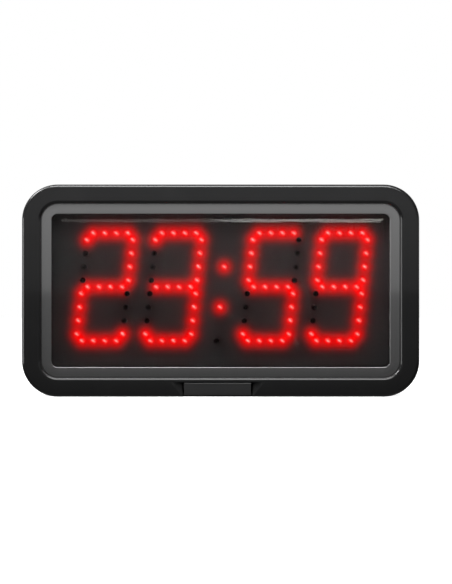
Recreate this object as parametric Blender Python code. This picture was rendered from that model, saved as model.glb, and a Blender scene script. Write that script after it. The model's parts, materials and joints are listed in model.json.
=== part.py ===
# Wall-hung LED round timer: a black two-part case with a recessed grey trim
# ring, a smoked window over four red LED digits, a release latch at the
# bottom centre and three push buttons underneath.
# Frame: X to the right seen from the front, front faces -Y, Z up.
# The origin is the centre of the wall plate's back face.

import math

import bmesh
import bpy
from mathutils import Matrix, Vector

# ---- case ----
CASE_WIDTH = 0.350
CASE_HEIGHT = 0.187
CASE_DEPTH = 0.055
CASE_CORNER = 0.0315
WALL = 0.003
GAP = 0.0003
CORNER_STEPS = 6
FILLET_STEPS = 3
MIN_CORNER = 0.001

# ---- front frame ----
FRAME_DEPTH = 0.022
FRONT_WALL = 0.0034
OUTER_FILLET = 0.003
BAND_WIDTH = 0.0168
BAND_INNER_FILLET = 0.0026

# ---- trim ring, gasket and window ----
TRIM_WIDTH = 0.0092
TRIM_RECESS = 0.0026
TRIM_THICKNESS = 0.003
TRIM_FLANGE = 0.0025
TRIM_EDGE = 0.0004
GASKET_WIDTH = 0.0035
GASKET_THICKNESS = 0.0008
GASKET_OVERLAP = 0.0045
LENS_OVERLAP = 0.005
LENS_FLANGE = 0.002
LENS_RELIEF = 0.0026
LENS_BEVEL = 0.0048
LENS_RISE = 0.0022

# ---- LED display ----
LED_PITCH_X = 0.01016
LED_PITCH_Z = CASE_HEIGHT * 7 / 110
DIGIT_SLANT = 0.1074
DIGIT_PITCH = 0.0607
COLON_GAP = 0.0255
DISPLAY_SHIFT_X = 0.0013
DISPLAY_SHIFT_Z = 0.0032
LED_RADIUS = 0.0025
LED_BARREL = 0.0052
LED_DOME = 0.0022
LED_TIP_RADIUS = 0.0011
LED_SIDES = 6
LED_TIP_CLEARANCE = 0.0006
CARRIER_THICKNESS = 0.0016
SPACER_WALL = 0.003
SPACER_INSET = 0.0215
BOARD_THICKNESS = 0.0016
DISPLAY_BOARD_SIDE_INSET = 0.0065
DISPLAY_BOARD_TOP_INSET = 0.0175
DISPLAY_BOARD_CORNER = 0.016

# ---- rear housing ----
REAR_GAP = 0.001
REAR_FILLET = 0.003
RIM_WIDTH = 0.0034
PANEL_RECESS = 0.008
PANEL_THICKNESS = 0.0025
TONGUE_LENGTH = 0.0033
TONGUE_THICKNESS = 0.0015
TONGUE_ROOT = 0.004
VENT_COUNT = 9
VENT_WIDTH = 0.0026
VENT_HEIGHT = CASE_HEIGHT * 18 / 187
VENT_PITCH = 0.007
VENT_Z = CASE_HEIGHT / 2 - 0.0275
GRILLE_HOLES = 8
GRILLE_HOLE_RADIUS = 0.0014
GRILLE_RADIUS = 0.0075

# ---- case screws ----
CASE_POST_RADIUS = 0.0045
CASE_BOSS_RADIUS = 0.0035
CASE_POST_END = 0.024
CORNER_POST_INSET_X = 0.020
CORNER_POST_INSET_Z = 0.0125
LOWER_POST_X = 0.060
LOWER_POST_INSET_Z = 0.0095
CASE_SCREW_SINK = 0.0053
CASE_SCREW_LENGTH = 0.025
SCREW_RADIUS = 0.0014
SCREW_HEAD_RADIUS = 0.0028
SCREW_HEAD_HEIGHT = 0.0022
BORE_EXTRA = 0.001

# ---- board posts ----
DISPLAY_BOSS_RADIUS = 0.003
DISPLAY_BOSS_INSET = 0.011
DISPLAY_BOSS_Z = 0.045
DISPLAY_SCREW_LENGTH = 0.0085
CONTROL_WIDTH = 0.200
CONTROL_TOP = 0.052
CONTROL_BOTTOM = -CASE_HEIGHT / 2 + 0.0315
CONTROL_POST_HEIGHT = 0.0095
CONTROL_POST_RADIUS = 0.0032
CONTROL_POST_INSET = 0.007
CONTROL_SCREW_LENGTH = 0.007

# ---- wall plate ----
PLATE_WIDTH = 0.230
PLATE_HEIGHT = 0.124
PLATE_CORNER = 0.008
PLATE_THICKNESS = 0.002
KEYHOLE_X = 0.095
KEYHOLE_Z = 0.036
KEYHOLE_HEAD_RADIUS = 0.0046
KEYHOLE_NECK = 0.0046
KEYHOLE_RISE = 0.009
PLATE_SLOT_Z = -0.048
PLATE_SLOT_LENGTH = 0.018
HOOK_X = 0.070
HOOK_Z = 0.040
HOOK_WIDTH = 0.016
HOOK_RISE = 0.006
HOOK_REACH = PANEL_RECESS + PANEL_THICKNESS + 0.004
HOOK_SLOT_DROP = 0.0065
PLATE_TONGUE_WIDTH = 0.040

# ---- release latch ----
TAB_WIDTH = 0.0589
TAB_HEIGHT = 0.0108
TAB_SHIFT = -0.0028
TAB_TOP_BELOW_BAND = 0.0045
TAB_THICKNESS = 0.003
TAB_SIDE_GAP = 0.0014
TAB_END_GAP = 0.0006
TAB_SINK = 0.0002
TAB_EDGE = 0.0008
FLANK_TOP_WIDTH = 0.0114
FLANK_BOTTOM_WIDTH = 0.003
FLANK_DEPTH = 0.004
PIVOT_BEHIND_FRONT = 0.0085
PIVOT_ABOVE_BASE = 0.011
PIN_RADIUS = 0.0016
PIN_LENGTH = 0.084
BARREL_RADIUS = 0.0032
BARREL_WIDTH = 0.056
WEB_SHARE = 0.6
CHEEK_WIDTH = 0.015
CHEEK_DEPTH = 0.0095
ARM_WIDTH = 0.024
ARM_THICKNESS = 0.0024
HOOK_TIP_DROP = 0.0028
HOOK_TIP_LENGTH = 0.0026
LATCH_HOOK_BEHIND_PANEL = 0.0055
LIP_CLEARANCE = 0.0004
LIP_HEIGHT = 0.0028
STRIKER_WIDTH = 0.018
SPRING_RADIUS = 0.0026
SPRING_WIRE = 0.0007
SPRING_TURNS = 5
SPRING_LENGTH = 0.0087
SPRING_STUB_RADIUS = 0.0017
SPRING_STUB_HEIGHT = 0.0018
SHELF_WIDTH = 0.014
SHELF_THICKNESS = 0.002

# ---- push buttons ----
BUTTON_NAMES = ("mode", "set", "start")
BUTTON_PITCH = 0.018
BUTTON_ROW_INSET = 0.065
BUTTON_FROM_WALL = PANEL_RECESS + 0.011
BUTTON_LENGTH = 0.012
BUTTON_WIDTH = 0.006
BUTTON_FLANGE = 0.0012
BUTTON_STEM_RADIUS = 0.002
BUTTON_STEM_LENGTH = 0.003
BUTTON_TRAVEL = 0.001
PLUNGER_RADIUS = 0.0017
PLUNGER_LENGTH = 0.0031
SWITCH_SIZE = 0.0062
SWITCH_HEIGHT = 0.0036
SWITCH_BORE_DEPTH = 0.0031
SWITCH_CLEARANCE = 0.0013
BUTTON_BOARD_MARGIN = 0.0145
BUTTON_BOARD_WIDTH = 0.016
BUTTON_BOSS_RADIUS = 0.003
BUTTON_BOSS_OFFSET = 0.011
BUTTON_SCREW_LENGTH = 0.006

# ---- control board parts: sizes are width, depth and height; places are X and Z ----
CONTROL_CORNER = 0.003
CONTROLLER_SIZE = (0.014, 0.0016, 0.014)
CONTROLLER_PLACE = (-0.040, 0.020)
DRIVER_SIZE = (0.018, 0.0024, 0.0078)
DRIVER_X = 0.002
DRIVER_LEVELS = (-0.004, -0.020)
CRYSTAL_SIZE = (0.0112, 0.0036, 0.0046)
CRYSTAL_PLACE = (-0.040, 0.002)
REGULATOR_SIZE = (0.0104, 0.0046, 0.0092)
REGULATOR_PLACE = (-0.078, -0.024)
CHIP_EDGE = 0.06
CAPACITOR_RADIUS = 0.005
CAPACITOR_HEIGHT = 0.0095
CAPACITOR_PLACE = (-0.056, -0.038)
SOUNDER_RADIUS = 0.0125
SOUNDER_HEIGHT = 0.0085
SOUNDER_PLACE = (0.058, -0.022)
DISC_LIP = 0.0006
SINK_SIZE = (0.024, 0.002, 0.020)
SINK_PLACE = (-0.078, -0.004)
FIN_COUNT = 5
FIN_PITCH = 0.0055
FIN_DEPTH = 0.006
FIN_THICKNESS = 0.0012
CELL_RADIUS = 0.010
CELL_DEPTH = 0.0032
CELL_PLACE = (0.074, 0.022)
HOLDER_DEPTH = 0.0052
HOLDER_FLOOR = 0.0012
HOLDER_MARGIN = 0.0022
HOLDER_CORNER = 0.004
RIBBON_REACH = 0.026
RIBBON_Z = 0.036
RIBBON_HALF_WIDTH = 0.012
RIBBON_THICKNESS = 0.0009
RIBBON_SHARE = 0.4
RIBBON_STEPS = 10
SOCKET_HALF_LENGTH = 0.013
SOCKET_HALF_WIDTH = 0.003
SOCKET_SHARE = 0.36

# ---- power inlet ----
INLET_BARREL_RISE = 0.0015
INLET_BORE_FLOOR = 0.002
INLET_FROM_SIDE = 0.036
INLET_Z = -0.049
INLET_POCKET = 0.019
INLET_POCKET_DEPTH = 0.020
INLET_WALL = 0.0022
INLET_BARREL_RADIUS = 0.004
INLET_BORE_RADIUS = 0.0029
INLET_PIN_RADIUS = 0.001
INLET_BODY = 0.011
INLET_BODY_DEPTH = 0.009
INLET_NUT_RADIUS = 0.0062
INLET_NUT_HEIGHT = 0.002

# ---- places that follow from the sizes above ----
FRONT = -CASE_DEPTH
BASE = -CASE_HEIGHT / 2
PARTING = FRONT + FRAME_DEPTH
WALL_BACK = FRONT + FRONT_WALL
TRIM_FACE = FRONT + TRIM_RECESS
TRIM_BACK = TRIM_FACE + TRIM_THICKNESS
WINDOW_INSET = BAND_WIDTH + TRIM_WIDTH
GASKET_FRONT = TRIM_BACK + GAP
LENS_FRONT = GASKET_FRONT + GASKET_THICKNESS + GAP
LENS_BACK = LENS_FRONT + LENS_FLANGE
LED_TIP = LENS_BACK + LED_TIP_CLEARANCE
CARRIER_FRONT = LED_TIP + LED_DOME + LED_BARREL
CARRIER_BACK = CARRIER_FRONT + CARRIER_THICKNESS
DISPLAY_FRONT = CARRIER_BACK + GAP
DISPLAY_BACK = DISPLAY_FRONT + BOARD_THICKNESS
PANEL_OUTER = -PANEL_RECESS
PANEL_INNER = PANEL_OUTER - PANEL_THICKNESS
CONTROL_BACK = PANEL_INNER - CONTROL_POST_HEIGHT - GAP
CONTROL_FRONT = CONTROL_BACK - BOARD_THICKNESS
PIVOT_Y = FRONT + PIVOT_BEHIND_FRONT
PIVOT_Z = BASE + PIVOT_ABOVE_BASE
TAB_TOP = BASE + BAND_WIDTH - TAB_TOP_BELOW_BAND
TAB_BOTTOM = TAB_TOP - TAB_HEIGHT
ARM_BOTTOM = PIVOT_Z - ARM_THICKNESS / 2
ARM_TOP = PIVOT_Z + ARM_THICKNESS / 2
ARM_END = PANEL_INNER - LATCH_HOOK_BEHIND_PANEL
LIP_TOP = ARM_BOTTOM - LIP_CLEARANCE
STRIKER_TOP = LIP_TOP - LIP_HEIGHT
SPRING_Y = (DISPLAY_BACK + CONTROL_FRONT) / 2
SPRING_BOTTOM = ARM_TOP + GAP
SPRING_TOP = SPRING_BOTTOM + SPRING_LENGTH
BUTTON_Y = -BUTTON_FROM_WALL
BUTTON_ROW_X = CASE_WIDTH / 2 - BUTTON_ROW_INSET
BASE_INNER = BASE + WALL
INLET_X = -CASE_WIDTH / 2 + INLET_FROM_SIDE

COLOURS = {
    "black_abs": ((0.020, 0.020, 0.021), 0.55, 0.0),
    "grey_trim": ((0.150, 0.150, 0.150), 0.40, 0.0),
    "smoked_acrylic": ((0.012, 0.012, 0.013), 0.08, 0.0),
    "black_rubber": ((0.010, 0.010, 0.010), 0.80, 0.0),
    "board_green": ((0.020, 0.110, 0.050), 0.50, 0.0),
    "red_led": ((0.500, 0.010, 0.010), 0.20, 0.0),
    "chip_black": ((0.015, 0.015, 0.016), 0.60, 0.0),
    "zinc_steel": ((0.560, 0.570, 0.580), 0.35, 1.0),
    "spring_steel": ((0.450, 0.450, 0.460), 0.30, 1.0),
    "aluminium": ((0.620, 0.620, 0.630), 0.40, 1.0),
    "sleeve_blue": ((0.020, 0.030, 0.120), 0.35, 0.0),
    "ribbon_grey": ((0.350, 0.350, 0.360), 0.60, 0.0),
    "button_grey": ((0.120, 0.120, 0.125), 0.50, 0.0),
}


# ---- materials and objects ----


def make_material(name):
    colour, roughness, metallic = COLOURS[name]
    material = bpy.data.materials.get(name) or bpy.data.materials.new(name)
    material.use_nodes = True
    shader = material.node_tree.nodes["Principled BSDF"]
    shader.inputs["Base Color"].default_value = (*colour, 1.0)
    shader.inputs["Roughness"].default_value = roughness
    shader.inputs["Metallic"].default_value = metallic
    return material


def to_mesh(bm, name, smooth=False):
    mesh = bpy.data.meshes.new(name)
    bmesh.ops.recalc_face_normals(bm, faces=bm.faces)
    bm.to_mesh(mesh)
    bm.free()
    if smooth:
        mesh.shade_smooth()
        mesh.set_sharp_from_angle(angle=math.radians(35))
    return mesh


def place(name, mesh, material, location=(0, 0, 0), parent=None):
    obj = bpy.data.objects.new(name, mesh)
    bpy.context.scene.collection.objects.link(obj)
    mesh.materials.clear()
    mesh.materials.append(make_material(material))
    obj.location = location
    obj.parent = parent
    return obj


def make_empty(name, location, parent=None):
    empty = bpy.data.objects.new(name, None)
    bpy.context.scene.collection.objects.link(empty)
    empty.location = location
    empty.parent = parent
    return empty


def shape_with(obj, bm, name, operation, overlapping=False):
    """Joins or cuts obj with a hidden tool that keeps obj's own place."""
    tool = bpy.data.objects.new(name, to_mesh(bm, name))
    bpy.context.scene.collection.objects.link(tool)
    tool.location = obj.location
    tool.parent = obj.parent
    tool.hide_render = True
    tool.display_type = "WIRE"
    modifier = obj.modifiers.new(name, "BOOLEAN")
    modifier.operation = operation
    modifier.object = tool
    modifier.use_self = overlapping


# ---- outlines in the XZ plane, anticlockwise seen from the front ----


def rounded_rectangle(width, height, radius, steps=CORNER_STEPS, centre=(0.0, 0.0)):
    radius = max(radius, MIN_CORNER)
    points = []
    for quarter, (side, level) in enumerate(((1, 1), (-1, 1), (-1, -1), (1, -1))):
        corner_x = centre[0] + side * (width / 2 - radius)
        corner_z = centre[1] + level * (height / 2 - radius)
        for step in range(steps + 1):
            angle = math.radians(90 * (quarter + step / steps))
            points.append((corner_x + radius * math.cos(angle), corner_z + radius * math.sin(angle)))
    return points


def case_outline(inset):
    return rounded_rectangle(CASE_WIDTH - 2 * inset, CASE_HEIGHT - 2 * inset, CASE_CORNER - inset)


def rectangle(left, right, bottom, top):
    return [(left, bottom), (right, bottom), (right, top), (left, top)]


def circle(centre_x, centre_z, radius, sides):
    turns = [2 * math.pi * (i + 0.5) / sides for i in range(sides)]
    return [(centre_x + radius * math.cos(t), centre_z + radius * math.sin(t)) for t in turns]


def keyhole(centre_x, centre_z, steps=8):
    """A round head opening with a narrow slot rising from it."""
    half_neck = KEYHOLE_NECK / 2
    start = math.asin(half_neck / KEYHOLE_HEAD_RADIUS)
    sweep = 2 * math.pi - 2 * start
    points = []
    for step in range(steps + 1):
        angle = math.pi / 2 + start + sweep * step / steps
        x = centre_x + KEYHOLE_HEAD_RADIUS * math.cos(angle)
        points.append((x, centre_z + KEYHOLE_HEAD_RADIUS * math.sin(angle)))
    for step in range(5):
        angle = math.pi * step / 4
        x = centre_x + half_neck * math.cos(angle)
        points.append((x, centre_z + KEYHOLE_RISE + half_neck * math.sin(angle)))
    return points


# ---- solids ----


def loft(rings, closed=False):
    """Joins outlines at their depths: a tube with end caps, or a closed frame."""
    bm = bmesh.new()
    loops = [[bm.verts.new((x, y, z)) for x, z in points] for points, y in rings]
    pairs = list(zip(loops, loops[1:]))
    if closed:
        pairs.append((loops[-1], loops[0]))
    else:
        bm.faces.new(loops[0])
        bm.faces.new(loops[-1])
    for near, far in pairs:
        for i, corner in enumerate(near):
            j = (i + 1) % len(near)
            bm.faces.new((corner, near[j], far[j], far[i]))
    return bm


def sheet(outer, front, back, holes=()):
    """A flat plate with holes through it."""
    bm = bmesh.new()
    edges = []
    for points in (outer, *holes):
        verts = [bm.verts.new((x, front, z)) for x, z in points]
        edges += [bm.edges.new(pair) for pair in zip(verts, verts[1:] + verts[:1])]
    bmesh.ops.triangle_fill(bm, use_beauty=True, edges=edges, normal=(0, -1, 0))
    extruded = bmesh.ops.extrude_face_region(bm, geom=bm.faces[:])
    moved = [item for item in extruded["geom"] if isinstance(item, bmesh.types.BMVert)]
    bmesh.ops.translate(bm, verts=moved, vec=(0, back - front, 0))
    return bm


def add_box(bm, low, high):
    low, high = Vector(low), Vector(high)
    size = high - low
    place_at = Matrix.Translation((low + high) / 2) @ Matrix.Diagonal((*size, 1))
    bmesh.ops.create_cube(bm, size=1.0, matrix=place_at)


def add_rod(bm, axis, start, end, centre, radius, sides=12, end_radius=None):
    """A rod along axis from start to end. centre holds its other two coordinates."""
    turn = {
        "X": Matrix.Rotation(math.radians(90), 4, "Y"),
        "Y": Matrix.Rotation(math.radians(-90), 4, "X"),
        "Z": Matrix.Identity(4),
    }[axis]
    middle = list(centre)
    middle.insert("XYZ".index(axis), (start + end) / 2)
    bmesh.ops.create_cone(
        bm,
        cap_ends=True,
        segments=sides,
        radius1=radius,
        radius2=radius if end_radius is None else end_radius,
        depth=abs(end - start),
        matrix=Matrix.Translation(middle) @ turn,
    )


def add_prism_x(bm, profile, left, right):
    """A YZ outline drawn out along X."""
    near = [bm.verts.new((left, y, z)) for y, z in profile]
    far = [bm.verts.new((right, y, z)) for y, z in profile]
    bm.faces.new(near)
    bm.faces.new(far)
    for i, corner in enumerate(near):
        j = (i + 1) % len(near)
        bm.faces.new((corner, near[j], far[j], far[i]))


def add_hull(bm, points):
    verts = [bm.verts.new(point) for point in points]
    bmesh.ops.convex_hull(bm, input=verts)


def fillet_arc(inset, y, radius, start_deg, steps=FILLET_STEPS):
    """Quarter round of a wall edge as (inset, y) pairs about its centre."""
    arc = []
    for step in range(steps + 1):
        angle = math.radians(start_deg + 90 * step / steps)
        arc.append((inset - radius * math.cos(angle), y - radius * math.sin(angle)))
    return arc


def framed(profile, closed=True):
    """A frame whose section is a list of (inset, y) pairs all round the case."""
    return loft([(case_outline(inset), y) for inset, y in profile], closed)


# ---- places shared by more than one piece ----


def case_screw_places():
    x = CASE_WIDTH / 2 - CORNER_POST_INSET_X
    z = CASE_HEIGHT / 2 - CORNER_POST_INSET_Z
    corners = [(-x, z), (x, z), (-x, -z), (x, -z)]
    lower = BASE + LOWER_POST_INSET_Z
    return corners + [(-LOWER_POST_X, lower), (LOWER_POST_X, lower)]


def display_screw_places():
    x = CASE_WIDTH / 2 - DISPLAY_BOSS_INSET
    return [(side * x, level * DISPLAY_BOSS_Z) for level in (1, -1) for side in (-1, 1)]


def control_screw_places():
    x = CONTROL_WIDTH / 2 - CONTROL_POST_INSET
    top = CONTROL_TOP - CONTROL_POST_INSET
    bottom = CONTROL_BOTTOM + CONTROL_POST_INSET
    return [(side * x, z) for z in (top, bottom) for side in (-1, 1)]


def button_places():
    return [BUTTON_ROW_X + BUTTON_PITCH * (i - 1) for i in range(len(BUTTON_NAMES))]


def button_boss_places():
    row = button_places()
    return [row[0] - BUTTON_BOSS_OFFSET, row[-1] + BUTTON_BOSS_OFFSET]


def digit_centres():
    outer = DIGIT_PITCH + (DIGIT_PITCH + COLON_GAP) / 2
    inner = (DIGIT_PITCH + COLON_GAP) / 2
    return [DISPLAY_SHIFT_X + x for x in (-outer, -inner, inner, outer)]


def slanted(x, z):
    return (x + DIGIT_SLANT * z, z + DISPLAY_SHIFT_Z)


def digit_leds(centre_x):
    """28 LEDs: two columns of eight and three rows of four, leaning right."""
    leds = []
    for side in (-1, 1):
        for row in range(8):
            leds.append(slanted(side * 2 * LED_PITCH_X, (row - 3.5) * LED_PITCH_Z))
    for level in (-1, 0, 1):
        for column in range(4):
            leds.append(slanted((column - 1.5) * LED_PITCH_X, level * 4 * LED_PITCH_Z))
    return [(centre_x + x, z) for x, z in leds]


def colon_leds():
    leds = [slanted(0, level * LED_PITCH_Z) for level in (1.5, -1.5, -4)]
    return [(DISPLAY_SHIFT_X + x, z) for x, z in leds]


# ---- case pieces ----


def make_front_frame(case):
    window_edge = (BAND_WIDTH, FRONT + BAND_INNER_FILLET)
    profile = [(WALL, PARTING), (0, PARTING)]
    profile += fillet_arc(OUTER_FILLET, FRONT + OUTER_FILLET, OUTER_FILLET, 0)
    inner_arc = fillet_arc(
        BAND_WIDTH - BAND_INNER_FILLET, FRONT + BAND_INNER_FILLET, BAND_INNER_FILLET, 90
    )
    profile += inner_arc[:-1] + [window_edge]
    profile += [(BAND_WIDTH, WALL_BACK), (WALL, WALL_BACK)]
    frame = place("front_frame", to_mesh(framed(profile), "front_frame", True), "black_abs", parent=case)

    bosses = bmesh.new()
    buried = WALL_BACK - GAP
    boss_end = -CASE_POST_END - GAP
    for x, z in case_screw_places():
        add_rod(bosses, "Y", buried, boss_end, (x, z), CASE_BOSS_RADIUS)
    for x, z in display_screw_places():
        add_rod(bosses, "Y", buried, DISPLAY_FRONT - GAP, (x, z), DISPLAY_BOSS_RADIUS)
    cheek_start = TAB_WIDTH / 2 + TAB_SIDE_GAP
    cheek_top = BASE + BAND_WIDTH - TRIM_FLANGE - 2 * GAP
    for side in (-1, 1):
        ends = sorted((side * cheek_start, side * (cheek_start + CHEEK_WIDTH)))
        low = (TAB_SHIFT + ends[0], buried, BASE_INNER - GAP)
        add_box(bosses, low, (TAB_SHIFT + ends[1], WALL_BACK + CHEEK_DEPTH, cheek_top))
    shape_with(frame, bosses, "front_frame_bosses", "UNION")

    bores = bmesh.new()
    for x, z in case_screw_places():
        depth = CASE_SCREW_LENGTH + CASE_SCREW_SINK + PANEL_RECESS + BORE_EXTRA
        add_rod(bores, "Y", -depth, boss_end + BORE_EXTRA, (x, z), SCREW_RADIUS + GAP)
    for x, z in display_screw_places():
        depth = DISPLAY_BACK - DISPLAY_SCREW_LENGTH - BORE_EXTRA
        add_rod(bores, "Y", depth, DISPLAY_FRONT + BORE_EXTRA, (x, z), SCREW_RADIUS + GAP)
    pin_reach = PIN_LENGTH / 2 + BORE_EXTRA + CHEEK_WIDTH
    add_rod(bores, "X", -pin_reach, pin_reach, (PIVOT_Y, PIVOT_Z), PIN_RADIUS + GAP)
    shape_with(frame, bores, "front_frame_bores", "DIFFERENCE")

    opening = bmesh.new()
    half = TAB_WIDTH / 2 + TAB_SIDE_GAP
    opening_top = TAB_TOP + TAB_END_GAP
    below = BASE - BORE_EXTRA
    opening_back = FRONT + TAB_SINK + TAB_THICKNESS + FRONT_WALL
    opening_low = (TAB_SHIFT - half, FRONT - BORE_EXTRA, below)
    add_box(opening, opening_low, (TAB_SHIFT + half, opening_back, opening_top))
    shape_with(frame, opening, "latch_opening", "DIFFERENCE")
    shape_with(frame, make_flanks(opening_top, below), "latch_flanks", "DIFFERENCE")
    return frame


def make_flanks(top, bottom):
    """Sloping finger scoops beside the tab, deepest at its upper corners."""
    bm = bmesh.new()
    start = TAB_WIDTH / 2 + TAB_SIDE_GAP
    outer_top = TAB_WIDTH / 2 + FLANK_TOP_WIDTH
    fall = (TAB_TOP - bottom) / TAB_HEIGHT
    outer_bottom = outer_top - (FLANK_TOP_WIDTH - FLANK_BOTTOM_WIDTH) * fall
    slope = FLANK_DEPTH / (outer_top - start)
    ahead = FRONT - BORE_EXTRA
    inside = start - BORE_EXTRA
    depth_top = FRONT + slope * (outer_top - inside)
    depth_bottom = FRONT + slope * (outer_bottom - inside)
    corners = [
        (outer_top, FRONT, top),
        (outer_bottom, FRONT, bottom),
        (inside, depth_top, top),
        (inside, depth_bottom, bottom),
        (outer_top, ahead, top),
        (outer_bottom, ahead, bottom),
        (inside, ahead, top),
        (inside, ahead, bottom),
    ]
    for side in (-1, 1):
        add_hull(bm, [(TAB_SHIFT + side * x, y, z) for x, y, z in corners])
    return bm


def make_trim_ring(case):
    edge = BAND_WIDTH + GAP
    flange_edge = BAND_WIDTH - TRIM_FLANGE
    flange_front = WALL_BACK + GAP
    profile = [
        (edge, flange_front),
        (edge, TRIM_FACE + TRIM_EDGE),
        (edge + TRIM_EDGE, TRIM_FACE),
        (WINDOW_INSET - TRIM_EDGE, TRIM_FACE),
        (WINDOW_INSET, TRIM_FACE + TRIM_EDGE),
        (WINDOW_INSET, TRIM_BACK),
        (flange_edge, TRIM_BACK),
        (flange_edge, flange_front),
    ]
    place("trim_ring", to_mesh(framed(profile), "trim_ring", True), "grey_trim", parent=case)


def make_gasket(case):
    outer = WINDOW_INSET - GASKET_OVERLAP
    back = GASKET_FRONT + GASKET_THICKNESS
    inner = outer + GASKET_WIDTH
    profile = [(outer, back), (outer, GASKET_FRONT), (inner, GASKET_FRONT), (inner, back)]
    place("lens_gasket", to_mesh(framed(profile), "lens_gasket"), "black_rubber", parent=case)


def make_lens(case):
    outer = WINDOW_INSET - LENS_OVERLAP
    bevel_start = WINDOW_INSET + LENS_RELIEF
    plateau = bevel_start + LENS_BEVEL
    profile = [
        (outer, LENS_BACK),
        (outer, LENS_FRONT),
        (bevel_start, LENS_FRONT),
        (plateau, LENS_FRONT - LENS_RISE),
    ]
    mesh = to_mesh(framed(profile, closed=False), "display_lens")
    place("display_lens", mesh, "smoked_acrylic", parent=case)


def make_spacer(case):
    inner = SPACER_INSET + SPACER_WALL
    front = LENS_BACK + GAP
    back = DISPLAY_FRONT - GAP
    profile = [(SPACER_INSET, back), (SPACER_INSET, front), (inner, front), (inner, back)]
    place("spacer_frame", to_mesh(framed(profile), "spacer_frame"), "black_abs", parent=case)


def make_rear_housing(case):
    tongue_outer = WALL + GAP
    tongue_inner = tongue_outer + TONGUE_THICKNESS
    parting = PARTING + GAP
    tongue_tip = PARTING - TONGUE_LENGTH
    root = parting + TONGUE_ROOT
    profile = [
        (WALL, PANEL_INNER),
        (WALL, root + TONGUE_THICKNESS),
        (tongue_inner, root),
        (tongue_inner, tongue_tip),
        (tongue_outer, tongue_tip),
        (tongue_outer, parting),
        (0, parting),
    ]
    rear_edge = -REAR_GAP - REAR_FILLET
    for step in range(FILLET_STEPS + 1):
        angle = math.radians(90 * step / FILLET_STEPS)
        inset = REAR_FILLET * (1 - math.cos(angle))
        profile.append((inset, rear_edge + REAR_FILLET * math.sin(angle)))
    profile += [(RIM_WIDTH, -REAR_GAP), (RIM_WIDTH, PANEL_OUTER)]
    mesh = to_mesh(framed(profile, closed=False), "rear_housing", True)
    housing = place("rear_housing", mesh, "black_abs", parent=case)
    shape_with(housing, rear_posts(), "rear_housing_posts", "UNION")
    shape_with(housing, spring_stub(), "spring_stub", "UNION")
    shape_with(housing, rear_cuts(), "rear_housing_cuts", "DIFFERENCE")
    shape_with(housing, rear_bores(), "rear_housing_bores", "DIFFERENCE")
    return housing


def rear_posts():
    bm = bmesh.new()
    buried = PANEL_INNER + GAP
    for x, z in case_screw_places():
        add_rod(bm, "Y", -CASE_POST_END, buried, (x, z), CASE_POST_RADIUS)
    for x, z in control_screw_places():
        add_rod(bm, "Y", CONTROL_BACK + GAP, buried, (x, z), CONTROL_POST_RADIUS)
    shelf_front = SPRING_Y - SPRING_RADIUS - SHELF_THICKNESS
    shelf_low = (-SHELF_WIDTH / 2, shelf_front, SPRING_TOP + GAP)
    add_box(bm, shelf_low, (SHELF_WIDTH / 2, buried, SPRING_TOP + GAP + SHELF_THICKNESS))
    half = INLET_POCKET / 2 + INLET_WALL
    pocket_front = -INLET_POCKET_DEPTH - INLET_WALL
    pocket_low = (INLET_X - half, pocket_front, INLET_Z - half)
    add_box(bm, pocket_low, (INLET_X + half, buried, INLET_Z + half))
    board_bottom = button_board_bottom()
    for x in button_boss_places():
        add_rod(bm, "Z", BASE_INNER - GAP, board_bottom - GAP, (x, BUTTON_Y), BUTTON_BOSS_RADIUS)
    return bm


def spring_stub():
    bm = bmesh.new()
    top = SPRING_TOP + 2 * GAP
    add_rod(bm, "Z", top - SPRING_STUB_HEIGHT, top, (0, SPRING_Y), SPRING_STUB_RADIUS)
    return bm


def rear_cuts():
    """Slots, vents and the inlet pocket, cut from the back."""
    bm = bmesh.new()
    behind = PANEL_OUTER + BORE_EXTRA
    before = PANEL_INNER - BORE_EXTRA
    slot_half = HOOK_WIDTH / 2 + 2 * GAP
    for side in (-1, 1):
        x = side * HOOK_X
        low = (x - slot_half, before, HOOK_Z - HOOK_SLOT_DROP)
        add_box(bm, low, (x + slot_half, behind, HOOK_Z + PLATE_THICKNESS + GAP))
    striker_half = STRIKER_WIDTH / 2 + BORE_EXTRA
    striker_low = (-striker_half, before, STRIKER_TOP - PLATE_THICKNESS - BORE_EXTRA)
    add_box(bm, striker_low, (striker_half, behind, LIP_TOP + 2 * BORE_EXTRA))
    for group in (-1, 1):
        for i in range(VENT_COUNT):
            x = group * VENT_PITCH * (i + 4)
            low = (x - VENT_WIDTH / 2, before, VENT_Z - VENT_HEIGHT / 2)
            add_box(bm, low, (x + VENT_WIDTH / 2, behind, VENT_Z + VENT_HEIGHT / 2))
    half = INLET_POCKET / 2
    pocket_low = (INLET_X - half, -INLET_POCKET_DEPTH, INLET_Z - half)
    add_box(bm, pocket_low, (INLET_X + half, behind, INLET_Z + half))
    half_length = BUTTON_LENGTH / 2 + GAP
    half_width = BUTTON_WIDTH / 2 + GAP
    for x in button_places():
        low = (x - half_length, BUTTON_Y - half_width, BASE - BORE_EXTRA)
        add_box(bm, low, (x + half_length, BUTTON_Y + half_width, BASE_INNER + BORE_EXTRA))
    for x, z in case_screw_places():
        ends = (-CASE_POST_END - BORE_EXTRA, behind)
        add_rod(bm, "Y", *ends, (x, z), SCREW_RADIUS + GAP)
    return bm


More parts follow.
